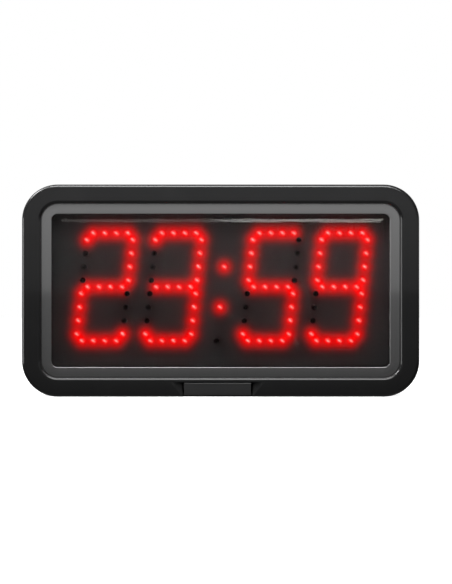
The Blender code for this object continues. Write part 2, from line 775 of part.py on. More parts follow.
def rear_bores():
    bm = bmesh.new()
    seat = PANEL_OUTER - CASE_SCREW_SINK
    for x, z in case_screw_places():
        add_rod(bm, "Y", seat, PANEL_OUTER + BORE_EXTRA, (x, z), SCREW_HEAD_RADIUS + GAP)
    for x, z in control_screw_places():
        depth = CONTROL_FRONT + CONTROL_SCREW_LENGTH + BORE_EXTRA
        add_rod(bm, "Y", CONTROL_BACK - BORE_EXTRA, depth, (x, z), SCREW_RADIUS + GAP, 10)
    floor_front = -INLET_POCKET_DEPTH - INLET_WALL - BORE_EXTRA
    floor_back = -INLET_POCKET_DEPTH + BORE_EXTRA
    add_rod(bm, "Y", floor_front, floor_back, (INLET_X, INLET_Z), INLET_BARREL_RADIUS + GAP, 16)
    for x in button_boss_places():
        top = button_board_bottom() + BORE_EXTRA
        bottom = button_board_bottom() - BUTTON_SCREW_LENGTH
        add_rod(bm, "Z", bottom, top, (x, BUTTON_Y), SCREW_RADIUS + GAP, 10)
    sounder_x, sounder_z = SOUNDER_PLACE
    for i in range(GRILLE_HOLES):
        turn = 2 * math.pi * i / GRILLE_HOLES
        hole_x = sounder_x + GRILLE_RADIUS * math.cos(turn)
        hole_z = sounder_z + GRILLE_RADIUS * math.sin(turn)
        ends = (PANEL_INNER - BORE_EXTRA, PANEL_OUTER + BORE_EXTRA)
        add_rod(bm, "Y", *ends, (hole_x, hole_z), GRILLE_HOLE_RADIUS, 8)
    return bm


# ---- display ----


def carrier_outline(left, right):
    """The spacer frame's inside, cut off square at left and right."""
    margin = SPACER_INSET + SPACER_WALL + GAP
    limit = CASE_WIDTH / 2 - margin
    top = CASE_HEIGHT / 2 - margin
    points = [(x, z) for x, z in case_outline(margin) if left <= x <= right]
    points += [(x, z) for x in (left, right) if abs(x) < limit for z in (-top, top)]
    middle = (left + right) / 2
    return sorted(points, key=lambda point: math.atan2(point[1], point[0] - middle))


def make_carrier(name, case, left, right, leds):
    """A black carrier plate with its red LEDs standing on it, as one module."""
    bm = bmesh.new()
    outer = carrier_outline(left, right)
    edges = []
    rims = []
    for points in [outer] + [circle(x, z, LED_RADIUS, LED_SIDES) for x, z in leds]:
        verts = [bm.verts.new((x, CARRIER_FRONT, z)) for x, z in points]
        edges += [bm.edges.new(pair) for pair in zip(verts, verts[1:] + verts[:1])]
        rims.append(verts)
    bmesh.ops.triangle_fill(bm, use_beauty=True, edges=edges, normal=(0, -1, 0))
    back = [bm.verts.new((x, CARRIER_BACK, z)) for x, z in outer]
    bm.faces.new(back)
    join_loops(bm, rims[0], back)
    for (x, z), rim in zip(leds, rims[1:]):
        shoulder_y = CARRIER_FRONT - LED_BARREL
        shoulder = [bm.verts.new((vert.co.x, shoulder_y, vert.co.z)) for vert in rim]
        tip_points = circle(x, z, LED_TIP_RADIUS, LED_SIDES)
        tip = [bm.verts.new((tip_x, LED_TIP, tip_z)) for tip_x, tip_z in tip_points]
        join_loops(bm, rim, shoulder)
        join_loops(bm, shoulder, tip)
        bm.faces.new(tip)
    place(name, to_mesh(bm, name), "red_led", parent=case)


def join_loops(bm, near, far):
    for i, corner in enumerate(near):
        j = (i + 1) % len(near)
        bm.faces.new((corner, near[j], far[j], far[i]))


def make_display(case):
    centres = digit_centres()
    limit = CASE_WIDTH / 2
    half = DIGIT_PITCH / 2 - GAP / 2
    for i, centre in enumerate(centres):
        left = -limit if i == 0 else centre - half
        right = limit if i == len(centres) - 1 else centre + half
        make_carrier(f"led_digit_{i + 1}", case, left, right, digit_leds(centre))
    inner_left = centres[1] + half + GAP
    inner_right = centres[2] - half - GAP
    make_carrier("led_colon", case, inner_left, inner_right, colon_leds())
    width = CASE_WIDTH - 2 * DISPLAY_BOARD_SIDE_INSET
    height = CASE_HEIGHT - 2 * DISPLAY_BOARD_TOP_INSET
    outer = rounded_rectangle(width, height, DISPLAY_BOARD_CORNER, 4)
    holes = [circle(x, z, SCREW_RADIUS + GAP, 10) for x, z in display_screw_places()]
    mesh = to_mesh(sheet(outer, DISPLAY_FRONT, DISPLAY_BACK, holes), "display_board")
    place("display_board", mesh, "board_green", parent=case)


# ---- control board and its components ----


def make_control_board(case):
    middle = (CONTROL_TOP + CONTROL_BOTTOM) / 2
    height = CONTROL_TOP - CONTROL_BOTTOM
    outer = rounded_rectangle(CONTROL_WIDTH, height, CONTROL_CORNER, 3, (0.0, middle))
    holes = [circle(x, z, SCREW_RADIUS + GAP, 10) for x, z in control_screw_places()]
    mesh = to_mesh(sheet(outer, CONTROL_FRONT, CONTROL_BACK, holes), "control_board")
    place("control_board", mesh, "board_green", parent=case)


def component(name, case, material, size, centre):
    """A block standing on the control board's front, with bevelled front edges."""
    width, depth, height = size
    back = CONTROL_FRONT - GAP
    front = back - depth
    trim = min(width, height) * CHIP_EDGE
    x, z = centre
    left, right = x - width / 2, x + width / 2
    bottom, top = z - height / 2, z + height / 2
    rings = [
        (rectangle(left, right, bottom, top), back),
        (rectangle(left, right, bottom, top), front + trim),
        (rectangle(left + trim, right - trim, bottom + trim, top - trim), front),
    ]
    place(name, to_mesh(loft(rings), name), material, parent=case)


def disc(name, case, material, radius, depth, centre, back, sides=20):
    rings = [
        (circle(*centre, radius, sides), back),
        (circle(*centre, radius, sides), back - depth + DISC_LIP),
        (circle(*centre, radius - DISC_LIP, sides), back - depth),
    ]
    place(name, to_mesh(loft(rings), name, True), material, parent=case)


def make_components(case):
    component("micro_controller", case, "chip_black", CONTROLLER_SIZE, CONTROLLER_PLACE)
    for i, level in enumerate(DRIVER_LEVELS):
        component(f"led_driver_{i + 1}", case, "chip_black", DRIVER_SIZE, (DRIVER_X, level))
    component("clock_crystal", case, "zinc_steel", CRYSTAL_SIZE, CRYSTAL_PLACE)
    component("voltage_regulator", case, "chip_black", REGULATOR_SIZE, REGULATOR_PLACE)
    make_heat_sink(case)
    back = CONTROL_FRONT - GAP
    place_at = CAPACITOR_PLACE
    disc("filter_capacitor", case, "sleeve_blue", CAPACITOR_RADIUS, CAPACITOR_HEIGHT, place_at, back)
    disc("sounder", case, "chip_black", SOUNDER_RADIUS, SOUNDER_HEIGHT, SOUNDER_PLACE, back, 24)
    make_coin_cell(case)
    make_ribbon(case)


def make_heat_sink(case):
    """A finned block in front of the regulator's upper half."""
    bm = bmesh.new()
    x, z = SINK_PLACE
    width, base, height = SINK_SIZE
    back = CONTROL_FRONT - GAP
    add_box(bm, (x - width / 2, back - base, z - height / 2), (x + width / 2, back, z + height / 2))
    sink = place("heat_sink", to_mesh(bm, "heat_sink"), "aluminium", parent=case)
    fins = bmesh.new()
    for i in range(FIN_COUNT):
        fin_x = x + (i - (FIN_COUNT - 1) / 2) * FIN_PITCH
        low = (fin_x - FIN_THICKNESS / 2, back - base - FIN_DEPTH, z - height / 2)
        add_box(fins, low, (fin_x + FIN_THICKNESS / 2, back - base + GAP, z + height / 2))
    shape_with(sink, fins, "heat_sink_fins", "UNION")


def make_coin_cell(case):
    """Keeps the clock running when the power is off."""
    holder_back = CONTROL_FRONT - GAP
    side = 2 * (CELL_RADIUS + HOLDER_MARGIN)
    outer = rounded_rectangle(side, side, HOLDER_CORNER, 4, CELL_PLACE)
    inner = circle(*CELL_PLACE, CELL_RADIUS + GAP, 20)
    front = holder_back - HOLDER_DEPTH
    mesh = to_mesh(sheet(outer, front, holder_back), "coin_cell_holder")
    holder = place("coin_cell_holder", mesh, "chip_black", parent=case)
    well = loft([(inner, front - BORE_EXTRA), (inner, holder_back - HOLDER_FLOOR)])
    shape_with(holder, well, "coin_cell_well", "DIFFERENCE")
    cell_back = holder_back - HOLDER_FLOOR - GAP
    disc("coin_cell", case, "zinc_steel", CELL_RADIUS, CELL_DEPTH, CELL_PLACE, cell_back)


def make_ribbon(case):
    """Flat cable from the display board's socket to the control board's."""
    display_rear = DISPLAY_BACK + GAP
    control_front = CONTROL_FRONT - GAP
    socket_depth = (control_front - display_rear) * SOCKET_SHARE
    bottom = RIBBON_Z - SOCKET_HALF_LENGTH
    top = RIBBON_Z + SOCKET_HALF_LENGTH
    sockets = (
        ("display_socket", -RIBBON_REACH, display_rear),
        ("control_socket", RIBBON_REACH, control_front - socket_depth),
    )
    for name, x, front in sockets:
        bm = bmesh.new()
        low = (x - SOCKET_HALF_WIDTH, front, bottom)
        add_box(bm, low, (x + SOCKET_HALF_WIDTH, front + socket_depth, top))
        place(name, to_mesh(bm, name), "chip_black", parent=case)
    start = display_rear + socket_depth + GAP
    end = control_front - socket_depth - GAP
    thickness = min(RIBBON_THICKNESS, (end - start) * RIBBON_SHARE)
    reach = RIBBON_REACH + SOCKET_HALF_WIDTH
    near = []
    far = []
    for step in range(RIBBON_STEPS + 1):
        share = step / RIBBON_STEPS
        ease = share * share * (3 - 2 * share)
        x = (2 * share - 1) * reach
        y = start + ease * (end - thickness - start)
        near.append((x, y))
        far.append((x, y + thickness))
    bm = bmesh.new()
    outline = near + far[::-1]
    lower = [bm.verts.new((x, y, RIBBON_Z - RIBBON_HALF_WIDTH)) for x, y in outline]
    upper = [bm.verts.new((x, y, RIBBON_Z + RIBBON_HALF_WIDTH)) for x, y in outline]
    bm.faces.new(lower)
    bm.faces.new(upper)
    join_loops(bm, lower, upper)
    place("ribbon_cable", to_mesh(bm, "ribbon_cable"), "ribbon_grey", parent=case)


# ---- power inlet ----


def make_inlet(case):
    floor = -INLET_POCKET_DEPTH
    barrel_end = floor + INLET_NUT_HEIGHT + INLET_BARREL_RISE
    body_back = floor - INLET_WALL - GAP
    half = INLET_BODY / 2
    bm = bmesh.new()
    low = (INLET_X - half, body_back - INLET_BODY_DEPTH, INLET_Z - half)
    add_box(bm, low, (INLET_X + half, body_back, INLET_Z + half))
    inlet = place("power_inlet", to_mesh(bm, "power_inlet"), "chip_black", parent=case)
    barrel = bmesh.new()
    centre = (INLET_X, INLET_Z)
    add_rod(barrel, "Y", body_back - BORE_EXTRA, barrel_end, centre, INLET_BARREL_RADIUS, 16)
    shape_with(inlet, barrel, "inlet_barrel", "UNION")
    bore = bmesh.new()
    bore_end = body_back - INLET_BODY_DEPTH + INLET_BORE_FLOOR
    add_rod(bore, "Y", bore_end, barrel_end + BORE_EXTRA, centre, INLET_BORE_RADIUS, 16)
    shape_with(inlet, bore, "inlet_bore", "DIFFERENCE")
    pin = bmesh.new()
    add_rod(pin, "Y", bore_end - BORE_EXTRA, barrel_end - BORE_EXTRA, centre, INLET_PIN_RADIUS, 8)
    shape_with(inlet, pin, "inlet_pin", "UNION")
    nut_front = floor + GAP
    hexagon = circle(*centre, INLET_NUT_RADIUS, 6)
    opening = circle(*centre, INLET_BARREL_RADIUS + GAP, 16)
    nut = sheet(hexagon, nut_front, nut_front + INLET_NUT_HEIGHT, [opening])
    place("inlet_nut", to_mesh(nut, "inlet_nut"), "zinc_steel", parent=case)


# ---- screws ----


def screw_mesh(name, length):
    """A pan-head screw along -Y from its seat at the origin, head towards +Y."""
    bm = bmesh.new()
    profile = [
        (SCREW_RADIUS * 0.5, -length),
        (SCREW_RADIUS, -length + SCREW_RADIUS),
        (SCREW_RADIUS, 0.0),
        (SCREW_HEAD_RADIUS, 0.0),
        (SCREW_HEAD_RADIUS, SCREW_HEAD_HEIGHT * 0.6),
        (SCREW_HEAD_RADIUS * 0.6, SCREW_HEAD_HEIGHT),
    ]
    sides = 8
    loops = []
    for radius, y in profile:
        loops.append([bm.verts.new((x, y, z)) for x, z in circle(0, 0, radius, sides)])
    bm.faces.new(loops[0])
    bm.faces.new(loops[-1])
    for near, far in zip(loops, loops[1:]):
        join_loops(bm, near, far)
    return to_mesh(bm, name, True)


def make_screws(case):
    mesh = screw_mesh("case_screw", CASE_SCREW_LENGTH)
    seat = PANEL_OUTER - CASE_SCREW_SINK + GAP
    for i, (x, z) in enumerate(case_screw_places()):
        place(f"case_screw_{i + 1}", mesh, "zinc_steel", (x, seat, z), case)
    mesh = screw_mesh("display_screw", DISPLAY_SCREW_LENGTH)
    for i, (x, z) in enumerate(display_screw_places()):
        place(f"display_screw_{i + 1}", mesh, "zinc_steel", (x, DISPLAY_BACK + GAP, z), case)
    mesh = screw_mesh("control_screw", CONTROL_SCREW_LENGTH)
    for i, (x, z) in enumerate(control_screw_places()):
        screw = place(f"control_screw_{i + 1}", mesh, "zinc_steel", (x, CONTROL_FRONT - GAP, z), case)
        screw.rotation_euler = (0, 0, math.pi)
    mesh = screw_mesh("button_screw", BUTTON_SCREW_LENGTH)
    top = button_board_bottom() + BOARD_THICKNESS + GAP
    for i, x in enumerate(button_boss_places()):
        screw = place(f"button_screw_{i + 1}", mesh, "zinc_steel", (x, BUTTON_Y, top), case)
        screw.rotation_euler = (math.pi / 2, 0, 0)


# ---- wall plate ----


def make_wall_plate(case):
    """Pressed steel plate with two hooks above and the latch striker below."""
    outer = rounded_rectangle(PLATE_WIDTH, PLATE_HEIGHT, PLATE_CORNER, 4)
    holes = [keyhole(side * KEYHOLE_X, KEYHOLE_Z) for side in (-1, 1)]
    for side in (-1, 1):
        centre = (side * KEYHOLE_X, PLATE_SLOT_Z)
        holes.append(rounded_rectangle(PLATE_SLOT_LENGTH, KEYHOLE_NECK, KEYHOLE_NECK / 2 - GAP, 3, centre))
    front = -PLATE_THICKNESS
    mesh = to_mesh(sheet(outer, front, 0.0, holes), "wall_plate")
    plate = place("wall_plate", mesh, "zinc_steel", parent=case)
    bent = bmesh.new()
    striker_low = STRIKER_TOP - PLATE_THICKNESS
    lip_back = ARM_END - HOOK_TIP_LENGTH - LIP_CLEARANCE
    lip_front = lip_back - PLATE_THICKNESS
    half_tongue = PLATE_TONGUE_WIDTH / 2
    add_box(bent, (-half_tongue, front, striker_low), (half_tongue, 0.0, -PLATE_HEIGHT / 2 + BORE_EXTRA))
    half = STRIKER_WIDTH / 2
    add_box(bent, (-half, lip_front, striker_low), (half, front + GAP, STRIKER_TOP))
    add_box(bent, (-half, lip_front, STRIKER_TOP - GAP), (half, lip_back, LIP_TOP))
    for side in (-1, 1):
        left = side * HOOK_X - HOOK_WIDTH / 2
        right = left + HOOK_WIDTH
        end = -HOOK_REACH
        hook_top = HOOK_Z + PLATE_THICKNESS
        add_box(bent, (left, end, HOOK_Z), (right, front + GAP, hook_top))
        add_box(bent, (left, end, hook_top - GAP), (right, end + PLATE_THICKNESS, hook_top + HOOK_RISE))
    shape_with(plate, bent, "wall_plate_bends", "UNION", overlapping=True)


# ---- release latch ----


def make_latch(case):
    """Press the tab's lower edge: the lever turns on its pin and lifts the hook."""
    pivot = make_empty("latch_pivot", (0, PIVOT_Y, PIVOT_Z), case)
    face = FRONT + TAB_SINK - PIVOT_Y
    back = face + TAB_THICKNESS
    top = TAB_TOP - PIVOT_Z
    bottom = TAB_BOTTOM - PIVOT_Z
    tab = bmesh.new()
    profile = [
        (face, top - TAB_EDGE),
        (face, bottom + 2 * TAB_EDGE),
        (face + TAB_EDGE, bottom + TAB_EDGE / 2),
        (face + 2 * TAB_EDGE, bottom),
        (back, bottom),
        (back, top),
        (face + TAB_EDGE, top),
    ]
    add_prism_x(tab, profile, TAB_SHIFT - TAB_WIDTH / 2, TAB_SHIFT + TAB_WIDTH / 2)
    latch = place("release_latch", to_mesh(tab, "release_latch"), "black_abs", parent=pivot)
    lever = bmesh.new()
    left = TAB_SHIFT - BARREL_WIDTH / 2
    right = TAB_SHIFT + BARREL_WIDTH / 2
    add_rod(lever, "X", left, right, (0, 0), BARREL_RADIUS, 16)
    web = BARREL_RADIUS * WEB_SHARE
    add_box(lever, (left + GAP, back - GAP, -web), (right - GAP, 0, web / 2))
    half_arm = ARM_WIDTH / 2
    arm_end = ARM_END - PIVOT_Y
    half = ARM_THICKNESS / 2
    add_box(lever, (-half_arm, 0, -half), (half_arm, arm_end, half))
    half_hook = half_arm - GAP
    tip_low = (-half_hook, arm_end - HOOK_TIP_LENGTH, -half - HOOK_TIP_DROP + LIP_CLEARANCE)
    add_box(lever, tip_low, (half_hook, arm_end - GAP, -half + GAP))
    spring_y = SPRING_Y - PIVOT_Y
    add_rod(lever, "Z", 0, half + SPRING_STUB_HEIGHT, (0, spring_y), SPRING_STUB_RADIUS)
    shape_with(latch, lever, "latch_lever", "UNION", overlapping=True)
    bore = bmesh.new()
    add_rod(bore, "X", left - BORE_EXTRA, right + BORE_EXTRA, (0, 0), PIN_RADIUS + GAP, 16)
    shape_with(latch, bore, "latch_bore", "DIFFERENCE")
    pin = bmesh.new()
    add_rod(pin, "X", TAB_SHIFT - PIN_LENGTH / 2, TAB_SHIFT + PIN_LENGTH / 2, (0, 0), PIN_RADIUS, 16)
    place("latch_pin", to_mesh(pin, "latch_pin", True), "zinc_steel", (0, PIVOT_Y, PIVOT_Z), case)
    make_spring(case)


def make_spring(case):
    curve = bpy.data.curves.new("latch_spring", "CURVE")
    curve.dimensions = "3D"
    curve.bevel_depth = SPRING_WIRE / 2
    curve.bevel_resolution = 1
    curve.use_fill_caps = True
    steps_per_turn = 10
    steps = SPRING_TURNS * steps_per_turn
    rise = SPRING_LENGTH - SPRING_WIRE
    spline = curve.splines.new("POLY")
    spline.points.add(steps)
    for step, point in enumerate(spline.points):
        turn = 2 * math.pi * step / steps_per_turn
        x = SPRING_RADIUS * math.cos(turn)
        y = SPRING_RADIUS * math.sin(turn)
        point.co = (x, y, SPRING_WIRE / 2 + rise * step / steps, 1)
    curve.materials.append(make_material("spring_steel"))
    spring = bpy.data.objects.new("latch_spring", curve)
    bpy.context.scene.collection.objects.link(spring)
    spring.location = (0, SPRING_Y, SPRING_BOTTOM)
    spring.parent = case


# ---- push buttons ----


def button_flange_bottom():
    return BASE_INNER + GAP


def button_stem_top():
    return button_flange_bottom() + BUTTON_FLANGE + BUTTON_STEM_LENGTH


def switch_bottom():
    return button_stem_top() + GAP + SWITCH_CLEARANCE


def button_board_bottom():
    return switch_bottom() + SWITCH_HEIGHT + GAP


def make_buttons(case):
    for name, x in zip(BUTTON_NAMES, button_places()):
        guide = make_empty(f"{name}_button_guide", (x, BUTTON_Y, BASE), case)
        make_button(name, guide)
        switch = bmesh.new()
        half = SWITCH_SIZE / 2
        bottom = switch_bottom() - BASE
        add_box(switch, (-half, -half, bottom), (half, half, bottom + SWITCH_HEIGHT))
        location = (x, BUTTON_Y, BASE)
        body = place(f"{name}_switch", to_mesh(switch, f"{name}_switch"), "chip_black", location, case)
        bore = bmesh.new()
        bore_top = bottom + SWITCH_BORE_DEPTH
        add_rod(bore, "Z", bottom - BORE_EXTRA, bore_top, (0, 0), PLUNGER_RADIUS + GAP)
        shape_with(body, bore, f"{name}_switch_bore", "DIFFERENCE")
    make_button_board(case)


def make_button(name, guide):
    """A rectangular cap with a retaining flange and a stem, flush with the base."""
    flange_bottom = button_flange_bottom() - BASE
    flange_top = flange_bottom + BUTTON_FLANGE
    stem_top = button_stem_top() - BASE
    half_length = BUTTON_LENGTH / 2
    half_width = BUTTON_WIDTH / 2
    cap = bmesh.new()
    add_box(cap, (-half_length, -half_width, GAP), (half_length, half_width, flange_top - GAP))
    button = place(f"{name}_button", to_mesh(cap, f"{name}_button"), "button_grey", parent=guide)
    inner = bmesh.new()
    reach_x = half_length + BUTTON_FLANGE
    reach_y = half_width + BUTTON_FLANGE
    add_box(inner, (-reach_x, -reach_y, flange_bottom), (reach_x, reach_y, flange_top))
    add_rod(inner, "Z", flange_top - GAP, stem_top, (0, 0), BUTTON_STEM_RADIUS)
    shape_with(button, inner, f"{name}_button_flange", "UNION", overlapping=True)
    plunger = bmesh.new()
    start = stem_top + GAP
    add_rod(plunger, "Z", start, start + PLUNGER_LENGTH, (0, 0), PLUNGER_RADIUS)
    place(f"{name}_plunger", to_mesh(plunger, f"{name}_plunger", True), "button_grey", parent=guide)


def make_button_board(case):
    row = button_places()
    half = BUTTON_BOARD_WIDTH / 2
    left = row[0] - BUTTON_BOARD_MARGIN
    right = row[-1] + BUTTON_BOARD_MARGIN
    bottom = button_board_bottom()
    outer = rectangle(left, right, BUTTON_FROM_WALL - half, BUTTON_FROM_WALL + half)
    holes = [circle(x, BUTTON_FROM_WALL, SCREW_RADIUS + GAP, 10) for x in button_boss_places()]
    bm = sheet(outer, bottom, bottom + BOARD_THICKNESS, holes)
    lay_flat = Matrix.Rotation(math.radians(90), 3, "X")
    bmesh.ops.rotate(bm, verts=bm.verts, cent=(0, 0, 0), matrix=lay_flat)
    place("button_board", to_mesh(bm, "button_board"), "board_green", parent=case)


# ---- assembly ----


def build():
    for obj in list(bpy.data.objects):
        bpy.data.objects.remove(obj, do_unlink=True)
    case = make_empty("round_timer", (0, 0, 0))
    make_front_frame(case)
    make_trim_ring(case)
    make_gasket(case)
    make_lens(case)
    make_spacer(case)
    make_display(case)
    make_rear_housing(case)
    make_control_board(case)
    make_components(case)
    make_inlet(case)
    make_buttons(case)
    make_latch(case)
    make_wall_plate(case)
    make_screws(case)


build()
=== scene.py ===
import json
import math
import bmesh
import bpy
from mathutils import Matrix, Vector


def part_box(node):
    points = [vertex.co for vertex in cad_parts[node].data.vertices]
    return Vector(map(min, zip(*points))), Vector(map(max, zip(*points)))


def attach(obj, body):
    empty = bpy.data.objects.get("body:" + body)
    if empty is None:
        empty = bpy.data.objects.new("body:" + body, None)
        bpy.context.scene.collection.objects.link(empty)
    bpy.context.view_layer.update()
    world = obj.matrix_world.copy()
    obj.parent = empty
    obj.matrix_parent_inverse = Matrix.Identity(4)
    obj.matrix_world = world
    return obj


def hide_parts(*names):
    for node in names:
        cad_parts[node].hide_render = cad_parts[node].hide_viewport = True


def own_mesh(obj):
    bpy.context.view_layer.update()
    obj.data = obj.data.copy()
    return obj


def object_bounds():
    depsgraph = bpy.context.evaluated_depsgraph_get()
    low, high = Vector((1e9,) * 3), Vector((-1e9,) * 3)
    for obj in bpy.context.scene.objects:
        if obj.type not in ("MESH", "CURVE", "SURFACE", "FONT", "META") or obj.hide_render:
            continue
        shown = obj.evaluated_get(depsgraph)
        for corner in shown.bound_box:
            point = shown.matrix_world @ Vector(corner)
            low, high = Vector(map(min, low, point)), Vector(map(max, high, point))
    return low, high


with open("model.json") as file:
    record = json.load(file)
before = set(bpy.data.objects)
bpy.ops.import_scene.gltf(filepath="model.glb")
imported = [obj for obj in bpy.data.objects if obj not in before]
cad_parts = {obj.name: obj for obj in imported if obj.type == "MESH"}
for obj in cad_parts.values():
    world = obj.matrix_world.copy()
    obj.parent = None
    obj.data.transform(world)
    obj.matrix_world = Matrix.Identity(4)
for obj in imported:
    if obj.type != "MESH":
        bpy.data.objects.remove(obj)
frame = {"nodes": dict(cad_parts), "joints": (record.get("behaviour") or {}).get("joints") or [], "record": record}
cadBounds = [list(corner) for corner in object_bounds()]
caseLow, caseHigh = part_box("front_frame")
housingLow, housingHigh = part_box("rear_housing")
print("frame loaded")

# outline of the case, shared by every ring that follows it
caseValues = {
    "cornerRadius": 0.0315,
    "cornerSegments": 18,
    "wall": 0.003,
    "bandWidth": 0.0168,
    "trimWidth": 0.0092,
    "fitGap": 0.0003,
    "seam": -0.033,
    # joined shapes reach this far into each other, and cutters this far past a surface
    "overlap": 0.0005,
    "cutMargin": 0.001,
}


cameraValues = {"distance": 2.0, "frameHeight": 0.5137, "sensor": 36.0, "right": 0.0047, "up": -0.0012}
# brightness of the room behind the viewer at rising elevations, as (sine of elevation, radiance);
# the room is brighter above the horizon, and the pale floor shines from below
worldValues = {
    "range": 0.16,
    "below": ((-0.16, 0.08), (-0.045, 0.16), (0.0, 0.34)),
    "above": ((0.0, 0.63), (0.040, 0.88), (0.070, 0.74), (0.16, 0.24)),
    "horizonGap": 0.02,
    "bounce": 0.3,
    "bounceStart": -0.35,
    "bounceFull": -0.65,
    "background": 1.0,
}
lampValues = {
    "overheadPanel": {
        "place": (0.0, -0.70, 0.95), "aim": (0, -0.04, 0), "size": (0.8, 0.9), "radiance": 7.5,
    },
    "overheadStrip": {
        "place": (-0.02, -0.13, 0.19), "aim": (0, -0.05, 0.03), "size": (0.50, 0.03), "radiance": 20.0,
    },
    "leftStrip": {
        "place": (-1.05, -0.42, 0.0), "aim": (0, -0.04, 0), "size": (0.36, 0.30), "radiance": 10.0,
    },
    "cornerLamp": {
        "place": (-0.75, -0.30, 0.75), "aim": (0, -0.05, 0), "size": (0.36, 0.36), "radiance": 25.0,
    },
}
floorValues = {"radius": 6.0, "drop": 0.0002, "whiteness": 0.9, "roughness": 0.9, "glow": 0.90}


def makeCamera():
    values = cameraValues
    data = bpy.data.cameras.new("studioCamera")
    data.sensor_width = values["sensor"]
    data.lens = values["sensor"] * values["distance"] / values["frameHeight"]
    camera = bpy.data.objects.new("studioCamera", data)
    bpy.context.scene.collection.objects.link(camera)
    camera.location = (values["right"], caseLow.y - values["distance"], values["up"])
    camera.rotation_euler = (math.radians(90), 0, 0)
    bpy.context.scene.camera = camera


def makeLamps():
    for name, values in lampValues.items():
        data = bpy.data.lights.new(name, "AREA")
        data.shape = "RECTANGLE"
        data.size, data.size_y = values["size"]
        data.energy = values["radiance"] * math.pi * data.size * data.size_y
        lamp = bpy.data.objects.new(name, data)
        bpy.context.scene.collection.objects.link(lamp)
        lamp.location = values["place"]
        aim = Vector(values["aim"]) - Vector(values["place"])
        lamp.rotation_euler = aim.to_track_quat("-Z", "Y").to_euler()
        lamp.visible_camera = False


def mapRange(tree, source, fromLow, fromHigh, toLow=0.0, toHigh=1.0):
    node = tree.nodes.new("ShaderNodeMapRange")
    limits = {"From Min": fromLow, "From Max": fromHigh, "To Min": toLow, "To Max": toHigh}
    for label, value in limits.items():
        node.inputs[label].default_value = value
    tree.links.new(source, node.inputs["Value"])
    return node.outputs[0]


def makeWorld():
    world = bpy.data.worlds.new("studioWorld")
    bpy.context.scene.world = world
    world.use_nodes = True
    tree = world.node_tree
    nodes, links = tree.nodes, tree.links
    nodes.clear()
    output = nodes.new("ShaderNodeOutputWorld")
    direction = nodes.new("ShaderNodeTexCoord")
    split = nodes.new("ShaderNodeSeparateXYZ")
    links.new(direction.outputs["Generated"], split.inputs[0])
    height = split.outputs["Z"]
    over = nodes.new("ShaderNodeMath")
    over.operation = "GREATER_THAN"
    over.inputs[1].default_value = 0.0
    links.new(height, over.inputs[0])
    # the values between the two stops at the horizon are jumped over, which keeps the step sharp
    jump = nodes.new("ShaderNodeMath")
    jump.operation = "MULTIPLY_ADD"
    jump.inputs[1].default_value = worldValues["horizonGap"]
    links.new(over.outputs[0], jump.inputs[0])
    links.new(height, jump.inputs[2])
    span = worldValues["range"] + worldValues["horizonGap"]
    level = mapRange(tree, jump.outputs[0], -worldValues["range"], span)
    ramp = nodes.new("ShaderNodeValToRGB")
    stops = ramp.color_ramp.elements
    levels = list(worldValues["below"])
    levels += [(sine + worldValues["horizonGap"], radiance) for sine, radiance in worldValues["above"]]
    for sine, radiance in levels[1:-1]:
        stops.new((sine + worldValues["range"]) / (span + worldValues["range"]))
    for stop, (sine, radiance) in zip(stops, levels):
        stop.color = (radiance, radiance, radiance, 1)
    links.new(level, ramp.inputs[0])
    ends = (worldValues["bounceStart"], worldValues["bounceFull"])
    bounce = mapRange(tree, height, *ends, 0.0, worldValues["bounce"])
    total = nodes.new("ShaderNodeMath")
    links.new(ramp.outputs[0], total.inputs[0])
    links.new(bounce, total.inputs[1])
    room = nodes.new("ShaderNodeBackground")
    room.inputs["Color"].default_value = (1, 1, 1, 1)
    links.new(total.outputs[0], room.inputs["Strength"])
    backdrop = nodes.new("ShaderNodeBackground")
    backdrop.inputs["Color"].default_value = (1, 1, 1, 1)
    backdrop.inputs["Strength"].default_value = worldValues["background"]
    rays = nodes.new("ShaderNodeLightPath")
    mix = nodes.new("ShaderNodeMixShader")
    links.new(rays.outputs["Is Camera Ray"], mix.inputs[0])
    links.new(room.outputs[0], mix.inputs[1])
    links.new(backdrop.outputs[0], mix.inputs[2])
    links.new(mix.outputs[0], output.inputs[0])


def makeFloor():
    bm = bmesh.new()
    bmesh.ops.create_circle(bm, cap_ends=True, segments=96, radius=floorValues["radius"])
    bmesh.ops.translate(bm, verts=bm.verts, vec=(0, 0, cadBounds[0][2] - floorValues["drop"]))
    mesh = bpy.data.meshes.new("studioFloor")
    bm.to_mesh(mesh)
    bm.free()
    floor = bpy.data.objects.new("studioFloor", mesh)
    bpy.context.scene.collection.objects.link(floor)
    material = bpy.data.materials.new("studioFloor")
    material.use_nodes = True
    shader = material.node_tree.nodes["Principled BSDF"]
    shade = floorValues["whiteness"]
    shader.inputs["Base Color"].default_value = (shade, shade, shade, 1)
    shader.inputs["Roughness"].default_value = floorValues["roughness"]
    shader.inputs["Specular IOR Level"].default_value = 0.0
    shader.inputs["Emission Color"].default_value = (1, 1, 1, 1)
    shader.inputs["Emission Strength"].default_value = floorValues["glow"]
    mesh.materials.append(material)
    floor.visible_glossy = False
    floor.visible_transmission = False
    floor.visible_diffuse = False


bpy.context.scene.view_settings.view_transform = "Standard"
makeCamera()
makeLamps()
makeWorld()
makeFloor()
print("studio ready")


def newGroup(name, inputs, outputs):
    group = bpy.data.node_groups.new(name, "ShaderNodeTree")
    for label, value in inputs.items():
        socket = group.interface.new_socket(label, in_out="INPUT", socket_type="NodeSocketFloat")
        socket.default_value = value
    for label in outputs:
        group.interface.new_socket(label, in_out="OUTPUT", socket_type="NodeSocketFloat")
    return group, group.nodes.new("NodeGroupInput"), group.nodes.new("NodeGroupOutput")


